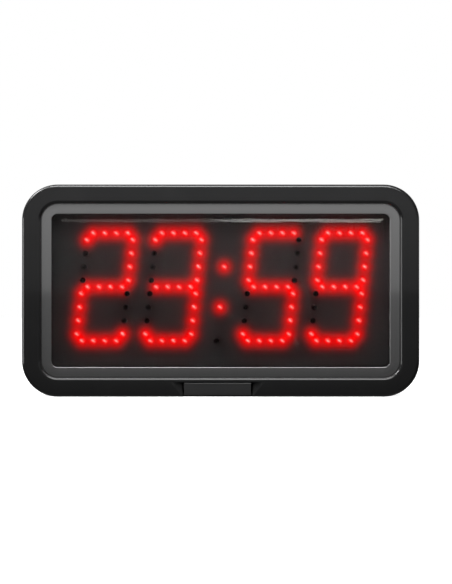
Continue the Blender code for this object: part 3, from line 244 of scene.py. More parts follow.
def makeGrainGroup():
    # moulded texture: fine spark-eroded grain over slow flow marks, as a height and a mask
    inputs = {"Grain Scale": 1500.0, "Flow Scale": 14.0, "Flow Share": 0.25}
    group, start, end = newGroup("mouldedGrain", inputs, ("Height", "Flow"))
    links = group.links
    place = group.nodes.new("ShaderNodeTexCoord")
    fine = group.nodes.new("ShaderNodeTexNoise")
    fine.inputs["Detail"].default_value = 3.0
    slow = group.nodes.new("ShaderNodeTexNoise")
    slow.inputs["Detail"].default_value = 4.0
    for node, label in ((fine, "Grain Scale"), (slow, "Flow Scale")):
        links.new(place.outputs["Object"], node.inputs["Vector"])
        links.new(start.outputs[label], node.inputs["Scale"])
    blend = group.nodes.new("ShaderNodeMix")
    links.new(start.outputs["Flow Share"], blend.inputs["Factor"])
    links.new(fine.outputs["Fac"], blend.inputs["A"])
    links.new(slow.outputs["Fac"], blend.inputs["B"])
    links.new(blend.outputs["Result"], end.inputs["Height"])
    links.new(slow.outputs["Fac"], end.inputs["Flow"])
    return group


wearValues = {
    "scuffEdge": (0.66, 0.72), "scuffRoughness": 0.06,
    "dustEdge": (0.50, 0.80), "dustShare": 0.55, "dustGain": 1.18, "dustLift": 0.002,
    "coatRoughness": 0.03, "underCoatSpecular": 0.12, "flowRange": (0.3, 0.7),
}


def makeScuffGroup():
    # sparse hairline scuffs and settled dust, as masks from 0 to 1
    inputs = {"Scuff Scale": 60.0, "Dust Scale": 35.0}
    group, start, end = newGroup("scuffsAndDust", inputs, ("Scuffs", "Dust"))
    links = group.links
    place = group.nodes.new("ShaderNodeTexCoord")
    stretch = group.nodes.new("ShaderNodeMapping")
    stretch.inputs["Rotation"].default_value = (0.3, 0.5, 0.2)
    stretch.inputs["Scale"].default_value = (1.0, 14.0, 9.0)
    links.new(place.outputs["Object"], stretch.inputs["Vector"])
    hair = group.nodes.new("ShaderNodeTexNoise")
    hair.inputs["Detail"].default_value = 2.0
    links.new(stretch.outputs[0], hair.inputs["Vector"])
    links.new(start.outputs["Scuff Scale"], hair.inputs["Scale"])
    links.new(mapRange(group, hair.outputs["Fac"], *wearValues["scuffEdge"]), end.inputs["Scuffs"])
    specks = group.nodes.new("ShaderNodeTexNoise")
    specks.inputs["Detail"].default_value = 6.0
    links.new(place.outputs["Object"], specks.inputs["Vector"])
    links.new(start.outputs["Dust Scale"], specks.inputs["Scale"])
    links.new(mapRange(group, specks.outputs["Fac"], *wearValues["dustEdge"]), end.inputs["Dust"])
    return group


grainGroup = makeGrainGroup()
scuffGroup = makeScuffGroup()


finishValues = {
    "caseBlack": {
        "colour": (0.0034, 0.0034, 0.0036), "roughness": (0.32, 0.42),
        "grain": 1500, "bump": 0.00001, "coat": 1.31,
    },
    "latchBlack": {
        "colour": (0.0090, 0.0090, 0.0093), "roughness": (0.30, 0.42), "grain": 1500, "bump": 0.00002,
    },
    "trimGrey": {
        "colour": (0.021, 0.021, 0.0212), "roughness": (0.35, 0.45),
        "grain": 2200, "bump": 0.000003, "coat": 2.2,
    },
    "buttonGrey": {
        "colour": (0.100, 0.100, 0.104), "roughness": (0.40, 0.50), "grain": 1200, "bump": 0.00003,
    },
    "sealRubber": {
        "colour": (0.004, 0.004, 0.004), "roughness": (0.75, 0.90), "grain": 900, "bump": 0.00003,
    },
    "chipBlack": {
        "colour": (0.014, 0.014, 0.015), "roughness": (0.45, 0.60), "grain": 2600, "bump": 0.00002,
    },
    "capacitorSleeve": {
        "colour": (0.010, 0.018, 0.080), "roughness": (0.20, 0.32), "grain": 500, "bump": 0.00001,
    },
    "ribbonInsulation": {
        "colour": (0.36, 0.36, 0.37), "roughness": (0.45, 0.60), "grain": 700, "bump": 0.00002,
    },
    "boardGreen": {
        "colour": (0.012, 0.095, 0.040), "roughness": (0.25, 0.38), "grain": 420, "bump": 0.00002,
    },
    "labelVinyl": {
        "colour": (0.42, 0.43, 0.44), "roughness": (0.35, 0.50), "grain": 1000, "bump": 0.00001,
    },
}
metalValues = {
    "zincPlate": {"colour": (0.53, 0.54, 0.56), "roughness": (0.26, 0.42), "grain": 260, "bump": 0.00002},
    "springWire": {
        "colour": (0.42, 0.42, 0.43), "roughness": (0.18, 0.28), "grain": 900, "bump": 0.00001,
    },
    "finAluminium": {
        "colour": (0.62, 0.62, 0.64), "roughness": (0.30, 0.45), "grain": 600, "bump": 0.00001,
    },
}


def startMaterial(name):
    material = bpy.data.materials.new(name)
    material.use_nodes = True
    tree = material.node_tree
    return material, tree, tree.nodes["Principled BSDF"]


def placeGroup(tree, group, **values):
    node = tree.nodes.new("ShaderNodeGroup")
    node.node_tree = group
    for label, value in values.items():
        node.inputs[label.replace("_", " ")].default_value = value
    return node


def spread(tree, source, low, high):
    # a slow mask drawn out between two values
    return mapRange(tree, source, *wearValues["flowRange"], low, high)


def tint(tree, mask, plain, marked):
    node = tree.nodes.new("ShaderNodeMix")
    node.data_type = "RGBA"
    node.inputs["A"].default_value = (*plain, 1)
    node.inputs["B"].default_value = (*marked, 1)
    tree.links.new(mask, node.inputs["Factor"])
    return node.outputs["Result"]


def addBump(tree, shader, height, distance):
    bump = tree.nodes.new("ShaderNodeBump")
    bump.inputs["Strength"].default_value = 1.0
    bump.inputs["Distance"].default_value = distance
    tree.links.new(height, bump.inputs["Height"])
    tree.links.new(bump.outputs[0], shader.inputs["Normal"])


def mouldedMaterial(name, values, metallic=0.0):
    material, tree, shader = startMaterial(name)
    grain = placeGroup(tree, grainGroup, Grain_Scale=values["grain"])
    scuffs = placeGroup(tree, scuffGroup)
    plain = values["colour"]
    lifted = [channel * wearValues["dustGain"] + wearValues["dustLift"] for channel in plain]
    shade = tree.nodes.new("ShaderNodeMath")
    shade.operation = "MULTIPLY"
    shade.inputs[1].default_value = wearValues["dustShare"]
    tree.links.new(scuffs.outputs["Dust"], shade.inputs[0])
    tree.links.new(tint(tree, shade.outputs[0], plain, lifted), shader.inputs["Base Color"])
    worn = tree.nodes.new("ShaderNodeMath")
    worn.operation = "MULTIPLY_ADD"
    worn.inputs[1].default_value = wearValues["scuffRoughness"]
    tree.links.new(scuffs.outputs["Scuffs"], worn.inputs[0])
    tree.links.new(spread(tree, grain.outputs["Flow"], *values["roughness"]), worn.inputs[2])
    tree.links.new(worn.outputs[0], shader.inputs["Roughness"])
    addBump(tree, shader, grain.outputs["Height"], values["bump"])
    shader.inputs["Metallic"].default_value = metallic
    if "coat" in values:
        shader.inputs["Coat Weight"].default_value = 1.0
        shader.inputs["Coat IOR"].default_value = values["coat"]
        shader.inputs["Coat Roughness"].default_value = wearValues["coatRoughness"]
        shader.inputs["Specular IOR Level"].default_value = wearValues["underCoatSpecular"]
    return material


materials = {name: mouldedMaterial(name, values) for name, values in finishValues.items()}
materials.update({name: mouldedMaterial(name, values, 1.0) for name, values in metalValues.items()})

lensFinish = {"colour": (0.78, 0.78, 0.79), "roughness": (0.009, 0.011), "ior": 1.18}
# the panel behind the LEDs, with the LEDs' spilt light painted on it as a red glow
glowFinish = {
    "panel": (0.0245, 0.0252, 0.0243), "paler": 1.3, "roughness": (0.55, 0.7), "bump": 0.000004,
    "paintedGlowBase": (0.012, 0.0, 0.0), "red": (1.0, 0.0, 0.0), "strength": 1.36,
}
ledFinish = {
    "hot": (1.0, 0.41, 0.35), "red": (1.0, 0.0, 0.0), "strength": 1.0, "body": (0.3, 0.01, 0.01),
    "litRoughness": (0.15, 0.25), "unlit": (0.0015, 0.0003, 0.0003), "paler": 1.5,
    "unlitRoughness": (0.30, 0.45), "unlitSpecular": 0.02,
}


def makeLensMaterial():
    material, tree, shader = startMaterial("smokedAcrylic")
    shader.inputs["Base Color"].default_value = (*lensFinish["colour"], 1)
    shader.inputs["Transmission Weight"].default_value = 1.0
    shader.inputs["IOR"].default_value = lensFinish["ior"]
    grain = placeGroup(tree, grainGroup, Grain_Scale=40.0, Flow_Share=1.0)
    haze = spread(tree, grain.outputs["Flow"], *lensFinish["roughness"])
    tree.links.new(haze, shader.inputs["Roughness"])
    return material


def makeGlowMaterial():
    # dark panel; the light the lit LEDs spill on it is painted as a glow stored on its points
    material, tree, shader = startMaterial("ledPanel")
    grain = placeGroup(tree, grainGroup, Grain_Scale=900.0)
    plain = glowFinish["panel"]
    colour = tint(tree, grain.outputs["Flow"], plain, [channel * glowFinish["paler"] for channel in plain])
    tree.links.new(spread(tree, grain.outputs["Flow"], *glowFinish["roughness"]), shader.inputs["Roughness"])
    shader.inputs["Specular IOR Level"].default_value = 0.0
    glow = tree.nodes.new("ShaderNodeAttribute")
    glow.attribute_name = "glow"
    # painted glow: the base colour is drawn towards dark red where the LEDs' light is painted
    paintedGlowBase = tree.nodes.new("ShaderNodeMix")
    paintedGlowBase.data_type = "RGBA"
    paintedGlowBase.inputs["B"].default_value = (*glowFinish["paintedGlowBase"], 1)
    tree.links.new(glow.outputs["Fac"], paintedGlowBase.inputs["Factor"])
    tree.links.new(colour, paintedGlowBase.inputs["A"])
    tree.links.new(paintedGlowBase.outputs["Result"], shader.inputs["Base Color"])
    # painted glow: red emission where the LEDs' light is painted on the panel
    light = tint(tree, glow.outputs["Fac"], (0, 0, 0), glowFinish["red"])
    tree.links.new(light, shader.inputs["Emission Color"])
    shader.inputs["Emission Strength"].default_value = glowFinish["strength"]
    addBump(tree, shader, grain.outputs["Height"], glowFinish["bump"])
    return material


def makeLitMaterial():
    material, tree, shader = startMaterial("ledLit")
    shader.inputs["Base Color"].default_value = (*ledFinish["body"], 1)
    hot = tree.nodes.new("ShaderNodeAttribute")
    hot.attribute_name = "hot"
    colour = tint(tree, hot.outputs["Fac"], ledFinish["red"], ledFinish["hot"])
    tree.links.new(colour, shader.inputs["Emission Color"])
    shader.inputs["Emission Strength"].default_value = ledFinish["strength"]
    grain = placeGroup(tree, grainGroup, Grain_Scale=800.0)
    polish = spread(tree, grain.outputs["Flow"], *ledFinish["litRoughness"])
    tree.links.new(polish, shader.inputs["Roughness"])
    return material


def makeUnlitMaterial():
    material, tree, shader = startMaterial("ledUnlit")
    grain = placeGroup(tree, grainGroup, Grain_Scale=800.0)
    dark = ledFinish["unlit"]
    colour = tint(tree, grain.outputs["Flow"], dark, [channel * ledFinish["paler"] for channel in dark])
    tree.links.new(colour, shader.inputs["Base Color"])
    polish = spread(tree, grain.outputs["Flow"], *ledFinish["unlitRoughness"])
    tree.links.new(polish, shader.inputs["Roughness"])
    shader.inputs["Specular IOR Level"].default_value = ledFinish["unlitSpecular"]
    return material


materials["smokedAcrylic"] = makeLensMaterial()
materials["ledPanel"] = makeGlowMaterial()
materials["ledLit"] = makeLitMaterial()
materials["ledUnlit"] = makeUnlitMaterial()
print("materials ready")


def facesAlong(bm, direction):
    axis = Vector(direction)
    return [face for face in bm.faces if face.normal.dot(axis) > 0.999]


def blockBetween(bm, low, high):
    # a cube stretched between two corners; returns its points
    low, high = Vector(low), Vector(high)
    stretch = Matrix.Translation((low + high) / 2) @ Matrix.Diagonal((*(high - low), 1))
    return bmesh.ops.create_cube(bm, size=1, matrix=stretch)["verts"]


def bevelEdges(bm, edges, width, segments):
    return bmesh.ops.bevel(
        bm, geom=edges, offset=width, offset_type="OFFSET", affect="EDGES", segments=segments,
        profile=0.5, material=-1, clamp_overlap=True,
    )


def caseBlock(inset, front, back):
    # the case's rounded outline, drawn in by inset, between two depths
    bm = bmesh.new()
    half = Vector((caseHigh.x - inset, 0, caseHigh.z - inset))
    blockBetween(bm, (-half.x, front, -half.z), (half.x, back, half.z))
    upright = [edge for edge in bm.edges if abs(edge.verts[0].co.y - edge.verts[1].co.y) > 1e-6]
    bevelEdges(bm, upright, caseValues["cornerRadius"] - inset, caseValues["cornerSegments"])
    bm.normal_update()
    return bm


def insetFace(bm, face, width):
    bmesh.ops.inset_region(bm, faces=[face], thickness=width, depth=0.0, use_even_offset=True)
    bm.normal_update()


def pushFace(bm, face, offset):
    # draws a face out or in along Y
    drawn = bmesh.ops.extrude_face_region(bm, geom=[face])["geom"]
    moved = [item for item in drawn if isinstance(item, bmesh.types.BMVert)]
    bmesh.ops.translate(bm, verts=moved, vec=(0, offset, 0))
    if face.is_valid:
        bmesh.ops.delete(bm, geom=[face], context="FACES_ONLY")
    bm.normal_update()
    return [item for item in drawn if isinstance(item, bmesh.types.BMFace)][0]


def openBetween(bm, front, back):
    # cuts a window by joining the rims of two facing faces
    rims = list(front.edges) + list(back.edges)
    bmesh.ops.delete(bm, geom=[front, back], context="FACES_ONLY")
    bmesh.ops.bridge_loops(bm, edges=rims)
    bm.normal_update()


def rimEdges(bm, level, outward):
    # edges between a flat face at this depth and the walls round it, outer or inner
    found = []
    for edge in bm.edges:
        if any(abs(vert.co.y - level) > 1e-6 for vert in edge.verts) or len(edge.link_faces) != 2:
            continue
        walls = [face for face in edge.link_faces if abs(face.normal.y) < 0.5]
        if len(walls) != 1:
            continue
        middle = (edge.verts[0].co + edge.verts[1].co) / 2
        if (walls[0].normal.dot(middle) > 0) == outward:
            found.append(edge)
    return found


def roughPiece(name, bm):
    mesh = bpy.data.meshes.new(name)
    bm.to_mesh(mesh)
    bm.free()
    piece = bpy.data.objects.new(name, mesh)
    bpy.context.scene.collection.objects.link(piece)
    return piece


def finishPiece(name, bm, material, body="case", slot="black_abs", replaces=(), **surface):
    bmesh.ops.remove_doubles(bm, verts=bm.verts, dist=1e-7)
    return finishObject(roughPiece(name, bm), material, body, slot, replaces, **surface)


def finishObject(piece, material, body, slot, replaces, smoothAngle=32, edge=0.0, edgeSegments=2):
    mesh = piece.data
    mesh.materials.clear()
    mesh.materials.append(materials[material])
    mesh.shade_smooth()
    mesh.set_sharp_from_angle(angle=math.radians(smoothAngle))
    if edge:
        bevel = piece.modifiers.new("softEdges", "BEVEL")
        bevel.width = edge
        bevel.segments = edgeSegments
        bevel.limit_method = "ANGLE"
        bevel.angle_limit = math.radians(smoothAngle)
        bevel.harden_normals = False
    weights = piece.modifiers.new("flatShading", "WEIGHTED_NORMAL")
    weights.keep_sharp = True
    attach(piece, body)
    if replaces:
        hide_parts(*replaces)
    return piece


def applyTool(piece, bm, operation, selfCrossing=False):
    # joins or cuts a piece with a shape and keeps the result
    bmesh.ops.recalc_face_normals(bm, faces=bm.faces)
    tool = roughPiece("tool", bm)
    modifier = piece.modifiers.new("tool", "BOOLEAN")
    modifier.operation = operation
    modifier.object = tool
    modifier.use_self = selfCrossing
    depsgraph = bpy.context.evaluated_depsgraph_get()
    result = bpy.data.meshes.new_from_object(piece.evaluated_get(depsgraph))
    piece.modifiers.clear()
    piece.data = result
    bpy.data.objects.remove(tool)


def rodAlong(bm, axis, start, end, centre, radius, segments=24):
    quarter = math.pi / 2
    turns = {"X": Matrix.Rotation(quarter, 4, "Y"), "Y": Matrix.Rotation(-quarter, 4, "X"), "Z": Matrix()}
    middle = list(centre)
    middle.insert("XYZ".index(axis), (start + end) / 2)
    place = Matrix.Translation(middle) @ turns[axis]
    made = bmesh.ops.create_cone(
        bm, cap_ends=True, segments=segments, radius1=radius, radius2=radius, depth=abs(end - start),
        matrix=place,
    )
    return made["verts"]


def screwPlaces(kind, count):
    places = []
    for i in range(count):
        low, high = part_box(f"{kind}_screw_{i + 1}")
        places.append((low + high) / 2)
    return places


frontValues = {
    "frontWall": 0.0034, "outerFillet": 0.003, "innerFillet": 0.0026, "filletSegments": 7, "edge": 0.00018,
    "tabGapSide": 0.0014, "tabGapTop": 0.0006, "tabHeight": 0.0108, "tabDrop": 0.0045,
    "flankTop": 0.0114, "flankBottom": 0.003, "flankDepth": 0.004,
    "pocketDepth": 0.0095, "pocketWidth": 0.015, "pocketTop": 0.0137,
    "openingDepth": 0.0066, "openingMargin": 0.002,
    "caseBossRadius": 0.0035, "displayBossRadius": 0.003, "bossSegments": 24,
}
tabLow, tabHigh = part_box("release_latch")
tabMiddle = (tabLow.x + tabHigh.x) / 2
tabHalf = (tabHigh.x - tabLow.x) / 2
tabTop = caseLow.z + caseValues["bandWidth"] - frontValues["tabDrop"]


def makeFrontFrame():
    values = frontValues
    front = caseLow.y
    seam = caseValues["seam"]
    overlap = caseValues["overlap"]
    bm = caseBlock(0, front, seam)
    backFace = facesAlong(bm, (0, 1, 0))[0]
    insetFace(bm, backFace, caseValues["wall"])
    backFace = pushFace(bm, backFace, front + values["frontWall"] - seam)
    insetFace(bm, backFace, caseValues["bandWidth"] - caseValues["wall"])
    frontFace = facesAlong(bm, (0, -1, 0))[0]
    insetFace(bm, frontFace, caseValues["bandWidth"])
    openBetween(bm, frontFace, backFace)
    bevelEdges(bm, rimEdges(bm, front, True), values["outerFillet"], values["filletSegments"])
    bevelEdges(bm, rimEdges(bm, front, False), values["innerFillet"], values["filletSegments"])
    piece = roughPiece("frontFrame", bm)
    start = tabHalf + values["tabGapSide"]
    pocket = bmesh.new()
    for side in (-1, 1):
        ends = sorted((tabMiddle + side * start, tabMiddle + side * (start + values["pocketWidth"])))
        wallBack = front + values["frontWall"]
        low = (ends[0], wallBack - overlap, caseLow.z + caseValues["wall"] - overlap)
        high = (ends[1], wallBack + values["pocketDepth"], caseLow.z + values["pocketTop"])
        blockBetween(pocket, low, high)
    applyTool(piece, pocket, "UNION")
    applyTool(piece, frontBosses(), "UNION")
    opening = bmesh.new()
    top = tabTop + values["tabGapTop"]
    margin = values["openingMargin"]
    low = (tabMiddle - start, front - margin, caseLow.z - margin)
    blockBetween(opening, low, (tabMiddle + start, front + values["openingDepth"], top))
    applyTool(piece, opening, "DIFFERENCE")
    applyTool(piece, flankCutter(start, front, top), "DIFFERENCE")
    return finishObject(piece, "caseBlack", "case", "black_abs", ("front_frame",), edge=values["edge"])


def frontBosses():
    values = frontValues
    bm = bmesh.new()
    buried = caseLow.y + values["frontWall"] - caseValues["overlap"]
    postEnd = -rearValues["postEnd"] - caseValues["fitGap"]
    for place in screwPlaces("case", 6):
        centre = (place.x, place.z)
        rodAlong(bm, "Y", buried, postEnd, centre, values["caseBossRadius"], values["bossSegments"])
    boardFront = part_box("display_board")[0].y - caseValues["fitGap"]
    for place in screwPlaces("display", 4):
        centre = (place.x, place.z)
        rodAlong(bm, "Y", buried, boardFront, centre, values["displayBossRadius"], values["bossSegments"])
    return bm


def flankCutter(start, front, top):
    # finger scoops: a block beside the tab whose slanted face runs out to the band
    values = frontValues
    bm = bmesh.new()
    bottom = caseLow.z - caseValues["cutMargin"]
    fall = (tabTop - bottom) / values["tabHeight"]
    outerTop = tabHalf + values["flankTop"]
    outerBottom = outerTop - (values["flankTop"] - values["flankBottom"]) * fall
    slope = values["flankDepth"] / (outerTop - start)
    inside = start - caseValues["cutMargin"]
    for side in (-1, 1):
        corners = []
        for outer, level in ((outerTop, top), (outerBottom, bottom)):
            for depth in (0.0, -values["openingMargin"]):
                corners.append((tabMiddle + side * outer, front + depth, level))
            corners.append((tabMiddle + side * inside, front + slope * (outer - inside), level))
            corners.append((tabMiddle + side * inside, front - values["openingMargin"], level))
        verts = [bm.verts.new(corner) for corner in corners]
        bmesh.ops.convex_hull(bm, input=verts)
    return bm


trimValues = {"edge": 0.0005, "edgeSegments": 3}


def makeTrimRing():
    values = trimValues
    ringLow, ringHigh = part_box("trim_ring")
    flangeInset = caseHigh.x - ringHigh.x
    edgeInset = caseValues["bandWidth"] + caseValues["fitGap"]
    windowInset = caseValues["bandWidth"] + caseValues["trimWidth"]
    flangeFront = caseLow.y + frontValues["frontWall"] + caseValues["fitGap"]
    bm = caseBlock(flangeInset, flangeFront, ringHigh.y)
    face = facesAlong(bm, (0, -1, 0))[0]
    insetFace(bm, face, edgeInset - flangeInset)
    face = pushFace(bm, face, ringLow.y - flangeFront)
    insetFace(bm, face, windowInset - edgeInset)
    back = facesAlong(bm, (0, 1, 0))[0]
    insetFace(bm, back, windowInset - flangeInset)
    openBetween(bm, face, back)
    edges = rimEdges(bm, ringLow.y, True) + rimEdges(bm, ringLow.y, False)
    bevelEdges(bm, edges, values["edge"], values["edgeSegments"])
    return finishPiece("trimRing", bm, "trimGrey", slot="grey_trim", replaces=("trim_ring",))


lensValues = {
    "overlap": 0.005, "relief": 0.0026, "bevel": 0.0048, "rise": 0.0022, "edge": 0.0003, "edgeSegments": 3,
    "smoothAngle": 12,
}


def makeLens():
    values = lensValues
    lensLow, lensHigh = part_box("display_lens")
    flangeInset = caseHigh.x - lensHigh.x
    bm = caseBlock(flangeInset, lensLow.y + values["rise"], lensHigh.y)
    face = facesAlong(bm, (0, -1, 0))[0]
    insetFace(bm, face, values["overlap"] + values["relief"])
    plateauFace = pushFace(bm, face, -values["rise"])
    for vert in plateauFace.verts:
        side = math.copysign(values["bevel"], vert.co.x)
        level = math.copysign(values["bevel"], vert.co.z)
        bmesh.ops.translate(bm, verts=[vert], vec=(-side, 0, -level))
    bm.normal_update()
    plateau = [edge for edge in bm.edges if all(abs(vert.co.y - lensLow.y) < 1e-6 for vert in edge.verts)]
    bevelEdges(bm, plateau, values["edge"], values["edgeSegments"])
    return finishPiece(
        "displayLens", bm, "smokedAcrylic", slot="smoked_acrylic", replaces=("display_lens",),
        smoothAngle=values["smoothAngle"],
    )


def makeSealRing(name, node, material, slot, width, edge):
    # a plain rounded-rectangle ring with softened edges
    low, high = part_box(node)
    inset = caseHigh.x - high.x
    bm = caseBlock(inset, low.y, high.y)
    front = facesAlong(bm, (0, -1, 0))[0]
    back = facesAlong(bm, (0, 1, 0))[0]
    insetFace(bm, front, width)
    insetFace(bm, back, width)
    openBetween(bm, front, back)
    edges = []
    for level in (low.y, high.y):
        edges += rimEdges(bm, level, True) + rimEdges(bm, level, False)
    bevelEdges(bm, edges, edge, 2)
    return finishPiece(name, bm, material, slot=slot, replaces=(node,))


displayValues = {
    "pitchX": 0.01016, "pitchZ": 0.0119, "slant": 0.1074, "shiftX": 0.0013, "shiftZ": 0.0032,
    "digitPitch": 0.0607, "colonGap": 0.0255, "ledRadius": 0.0025, "barrel": 0.0052,
    "shown": "2359", "glowReach": 0.0041, "glowPeak": 0.75, "glowTail": 0.0125, "tailShare": 0.004,
    "hotLong": 0.00120, "hotShort": 0.00052, "hotTurn": 32.0, "roundSegments": 18, "noseSegments": 14,
    "panelStep": 0.0014, "panelThickness": 0.0014, "panelBehind": 0.0016, "glowReachLimit": 4.5,
}
# segments a to g: top, upper right, lower right, bottom, lower left, upper left, middle
litSegments = {"2": "abged", "3": "abgcd", "5": "afgcd", "9": "abcdfg"}


def slanted(x, z):
    return x + displayValues["slant"] * z, z + displayValues["shiftZ"]


def digitLeds(centre, digit):
    # each LED as (x, z, lit): two columns of eight and three rows of four
    values = displayValues
    leds = []
    columns = {-1: ["d", "e", "e", "e", "f", "f", "f", "a"], 1: ["d", "c", "c", "c", "b", "b", "b", "b"]}
    for side, segments in columns.items():
        for row, segment in enumerate(segments):
            x, z = slanted(side * 2 * values["pitchX"], (row - 3.5) * values["pitchZ"])
            lit = segment in litSegments[digit]
            leds.append((centre + x, z, lit))
    for level, segment in ((-1, "d"), (0, "g"), (1, "a")):
        for column in range(4):
            x, z = slanted((column - 1.5) * values["pitchX"], level * 4 * values["pitchZ"])
            leds.append((centre + x, z, segment in litSegments[digit]))
    return leds


def colonLeds():
    leds = []
    for level, lit in ((1.5, True), (-1.5, True), (-4, False)):
        x, z = slanted(0, level * displayValues["pitchZ"])
        leds.append((displayValues["shiftX"] + x, z, lit))
    return leds


def displayGroups():
    # node name and LEDs of each carrier
    values = displayValues
    inner = (values["digitPitch"] + values["colonGap"]) / 2
    centres = (-inner - values["digitPitch"], -inner, inner, inner + values["digitPitch"])
    groups = {}
    for i, (centre, digit) in enumerate(zip(centres, values["shown"])):
        groups[f"led_digit_{i + 1}"] = digitLeds(values["shiftX"] + centre, digit)
    groups["led_colon"] = colonLeds()
    return groups


def addLed(bm, hot, x, z, lit, tip):
    # a round-nosed LED facing the viewer, brightest along one diagonal of its nose
    values = displayValues
    radius = values["ledRadius"]
    made = bmesh.ops.create_uvsphere(
        bm, u_segments=values["roundSegments"], v_segments=values["noseSegments"], radius=radius
    )["verts"]
    bmesh.ops.rotate(bm, verts=made, cent=(0, 0, 0), matrix=Matrix.Rotation(math.pi / 2, 3, "X"))
    behind = [vert for vert in made if vert.co.y > 1e-6]
    for vert in behind:
        reach = math.hypot(vert.co.x, vert.co.z)
        if reach > 1e-6:
            vert.co.x *= radius / reach
            vert.co.z *= radius / reach
        vert.co.y = values["barrel"] * vert.co.y / radius
    turn = math.radians(values["hotTurn"])
    for vert in made:
        along = vert.co.x * math.cos(turn) - vert.co.z * math.sin(turn)
        across = vert.co.x * math.sin(turn) + vert.co.z * math.cos(turn)
        spreadOut = (along / values["hotLong"]) ** 2 + (across / values["hotShort"]) ** 2
        vert[hot] = math.exp(-spreadOut / 2) if vert.co.y < 0 else 0.0
    bmesh.ops.translate(bm, verts=made, vec=(x, tip + radius, z))
    index = 0 if lit else 1
    for face in {face for vert in made for face in vert.link_faces}:
        face.material_index = index


def makeDigit(name, node, leds):
    bm = bmesh.new()
    hot = bm.verts.layers.float.new("hot")
    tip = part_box(node)[0].y
    for x, z, lit in leds:
        addLed(bm, hot, x, z, lit, tip)
    piece = roughPiece(name, bm)
    piece.data.materials.append(materials["ledLit"])
    piece.data.materials.append(materials["ledUnlit"])
    piece.data.shade_smooth()
    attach(piece, "case")
    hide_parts(node)


def glowAt(x, z, lamps):
    # light spilt on the panel by the lit LEDs: a near pool and a faint wide tail
    values = displayValues
    near = far = 0.0
    for lampX, lampZ in lamps:
        gap = (x - lampX) ** 2 + (z - lampZ) ** 2
        if gap < (values["glowReachLimit"] * values["glowTail"]) ** 2:
            near += math.exp(-gap / (2 * values["glowReach"] ** 2))
            far += math.exp(-gap / (2 * values["glowTail"] ** 2))
    return values["glowPeak"] * near + values["tailShare"] * far


def makePanel(groups):
    lamps = [(x, z) for leds in groups.values() for x, z, lit in leds if lit]
    low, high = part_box("led_digit_1")
    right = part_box("led_digit_4")[1].x
    front = high.y - displayValues["panelBehind"]
    width, height = right - low.x, high.z - low.z
    columns = round(width / displayValues["panelStep"])
    rows = round(height / displayValues["panelStep"])
    bm = bmesh.new()
    glow = bm.verts.layers.float.new("glow")
    bmesh.ops.create_grid(bm, x_segments=columns, y_segments=rows, size=0.5)
    bmesh.ops.scale(bm, vec=(width, height, 1), verts=bm.verts)
    bmesh.ops.rotate(bm, verts=bm.verts, cent=(0, 0, 0), matrix=Matrix.Rotation(math.pi / 2, 3, "X"))
    bmesh.ops.translate(bm, verts=bm.verts, vec=((low.x + right) / 2, front, (low.z + high.z) / 2))
    # painted light: the LEDs' glow on the panel, stored on each point
    for vert in bm.verts:
        vert[glow] = glowAt(vert.co.x, vert.co.z, lamps)
    border = [edge for edge in bm.edges if edge.is_boundary]
    drawn = bmesh.ops.extrude_edge_only(bm, edges=border)["geom"]
    rim = [item for item in drawn if isinstance(item, bmesh.types.BMVert)]
    bmesh.ops.translate(bm, verts=rim, vec=(0, displayValues["panelThickness"], 0))
    backEdges = [item for item in drawn if isinstance(item, bmesh.types.BMEdge)]
    bmesh.ops.contextual_create(bm, geom=backEdges)
    bmesh.ops.recalc_face_normals(bm, faces=bm.faces)
    return finishPiece("ledPanel", bm, "ledPanel", slot="red_led")


latchValues = {
    "thickness": 0.003, "tabEdge": 0.0006, "lowerEdge": 0.0014, "lowerRegion": 0.005, "edge": 0.00015,
    "barrel": 0.0032, "barrelHalf": 0.028, "bore": 0.0019, "webDrop": 0.0019, "webRise": 0.001,
    "arm": 0.0024, "armHalf": 0.012, "hookDrop": 0.0024, "hookDepth": 0.0026, "setIn": 0.0003,
    "stub": 0.0017, "stubRise": 0.0015,
}
latchJoint = next(joint for joint in frame["joints"] if joint["name"] == "latch_press")


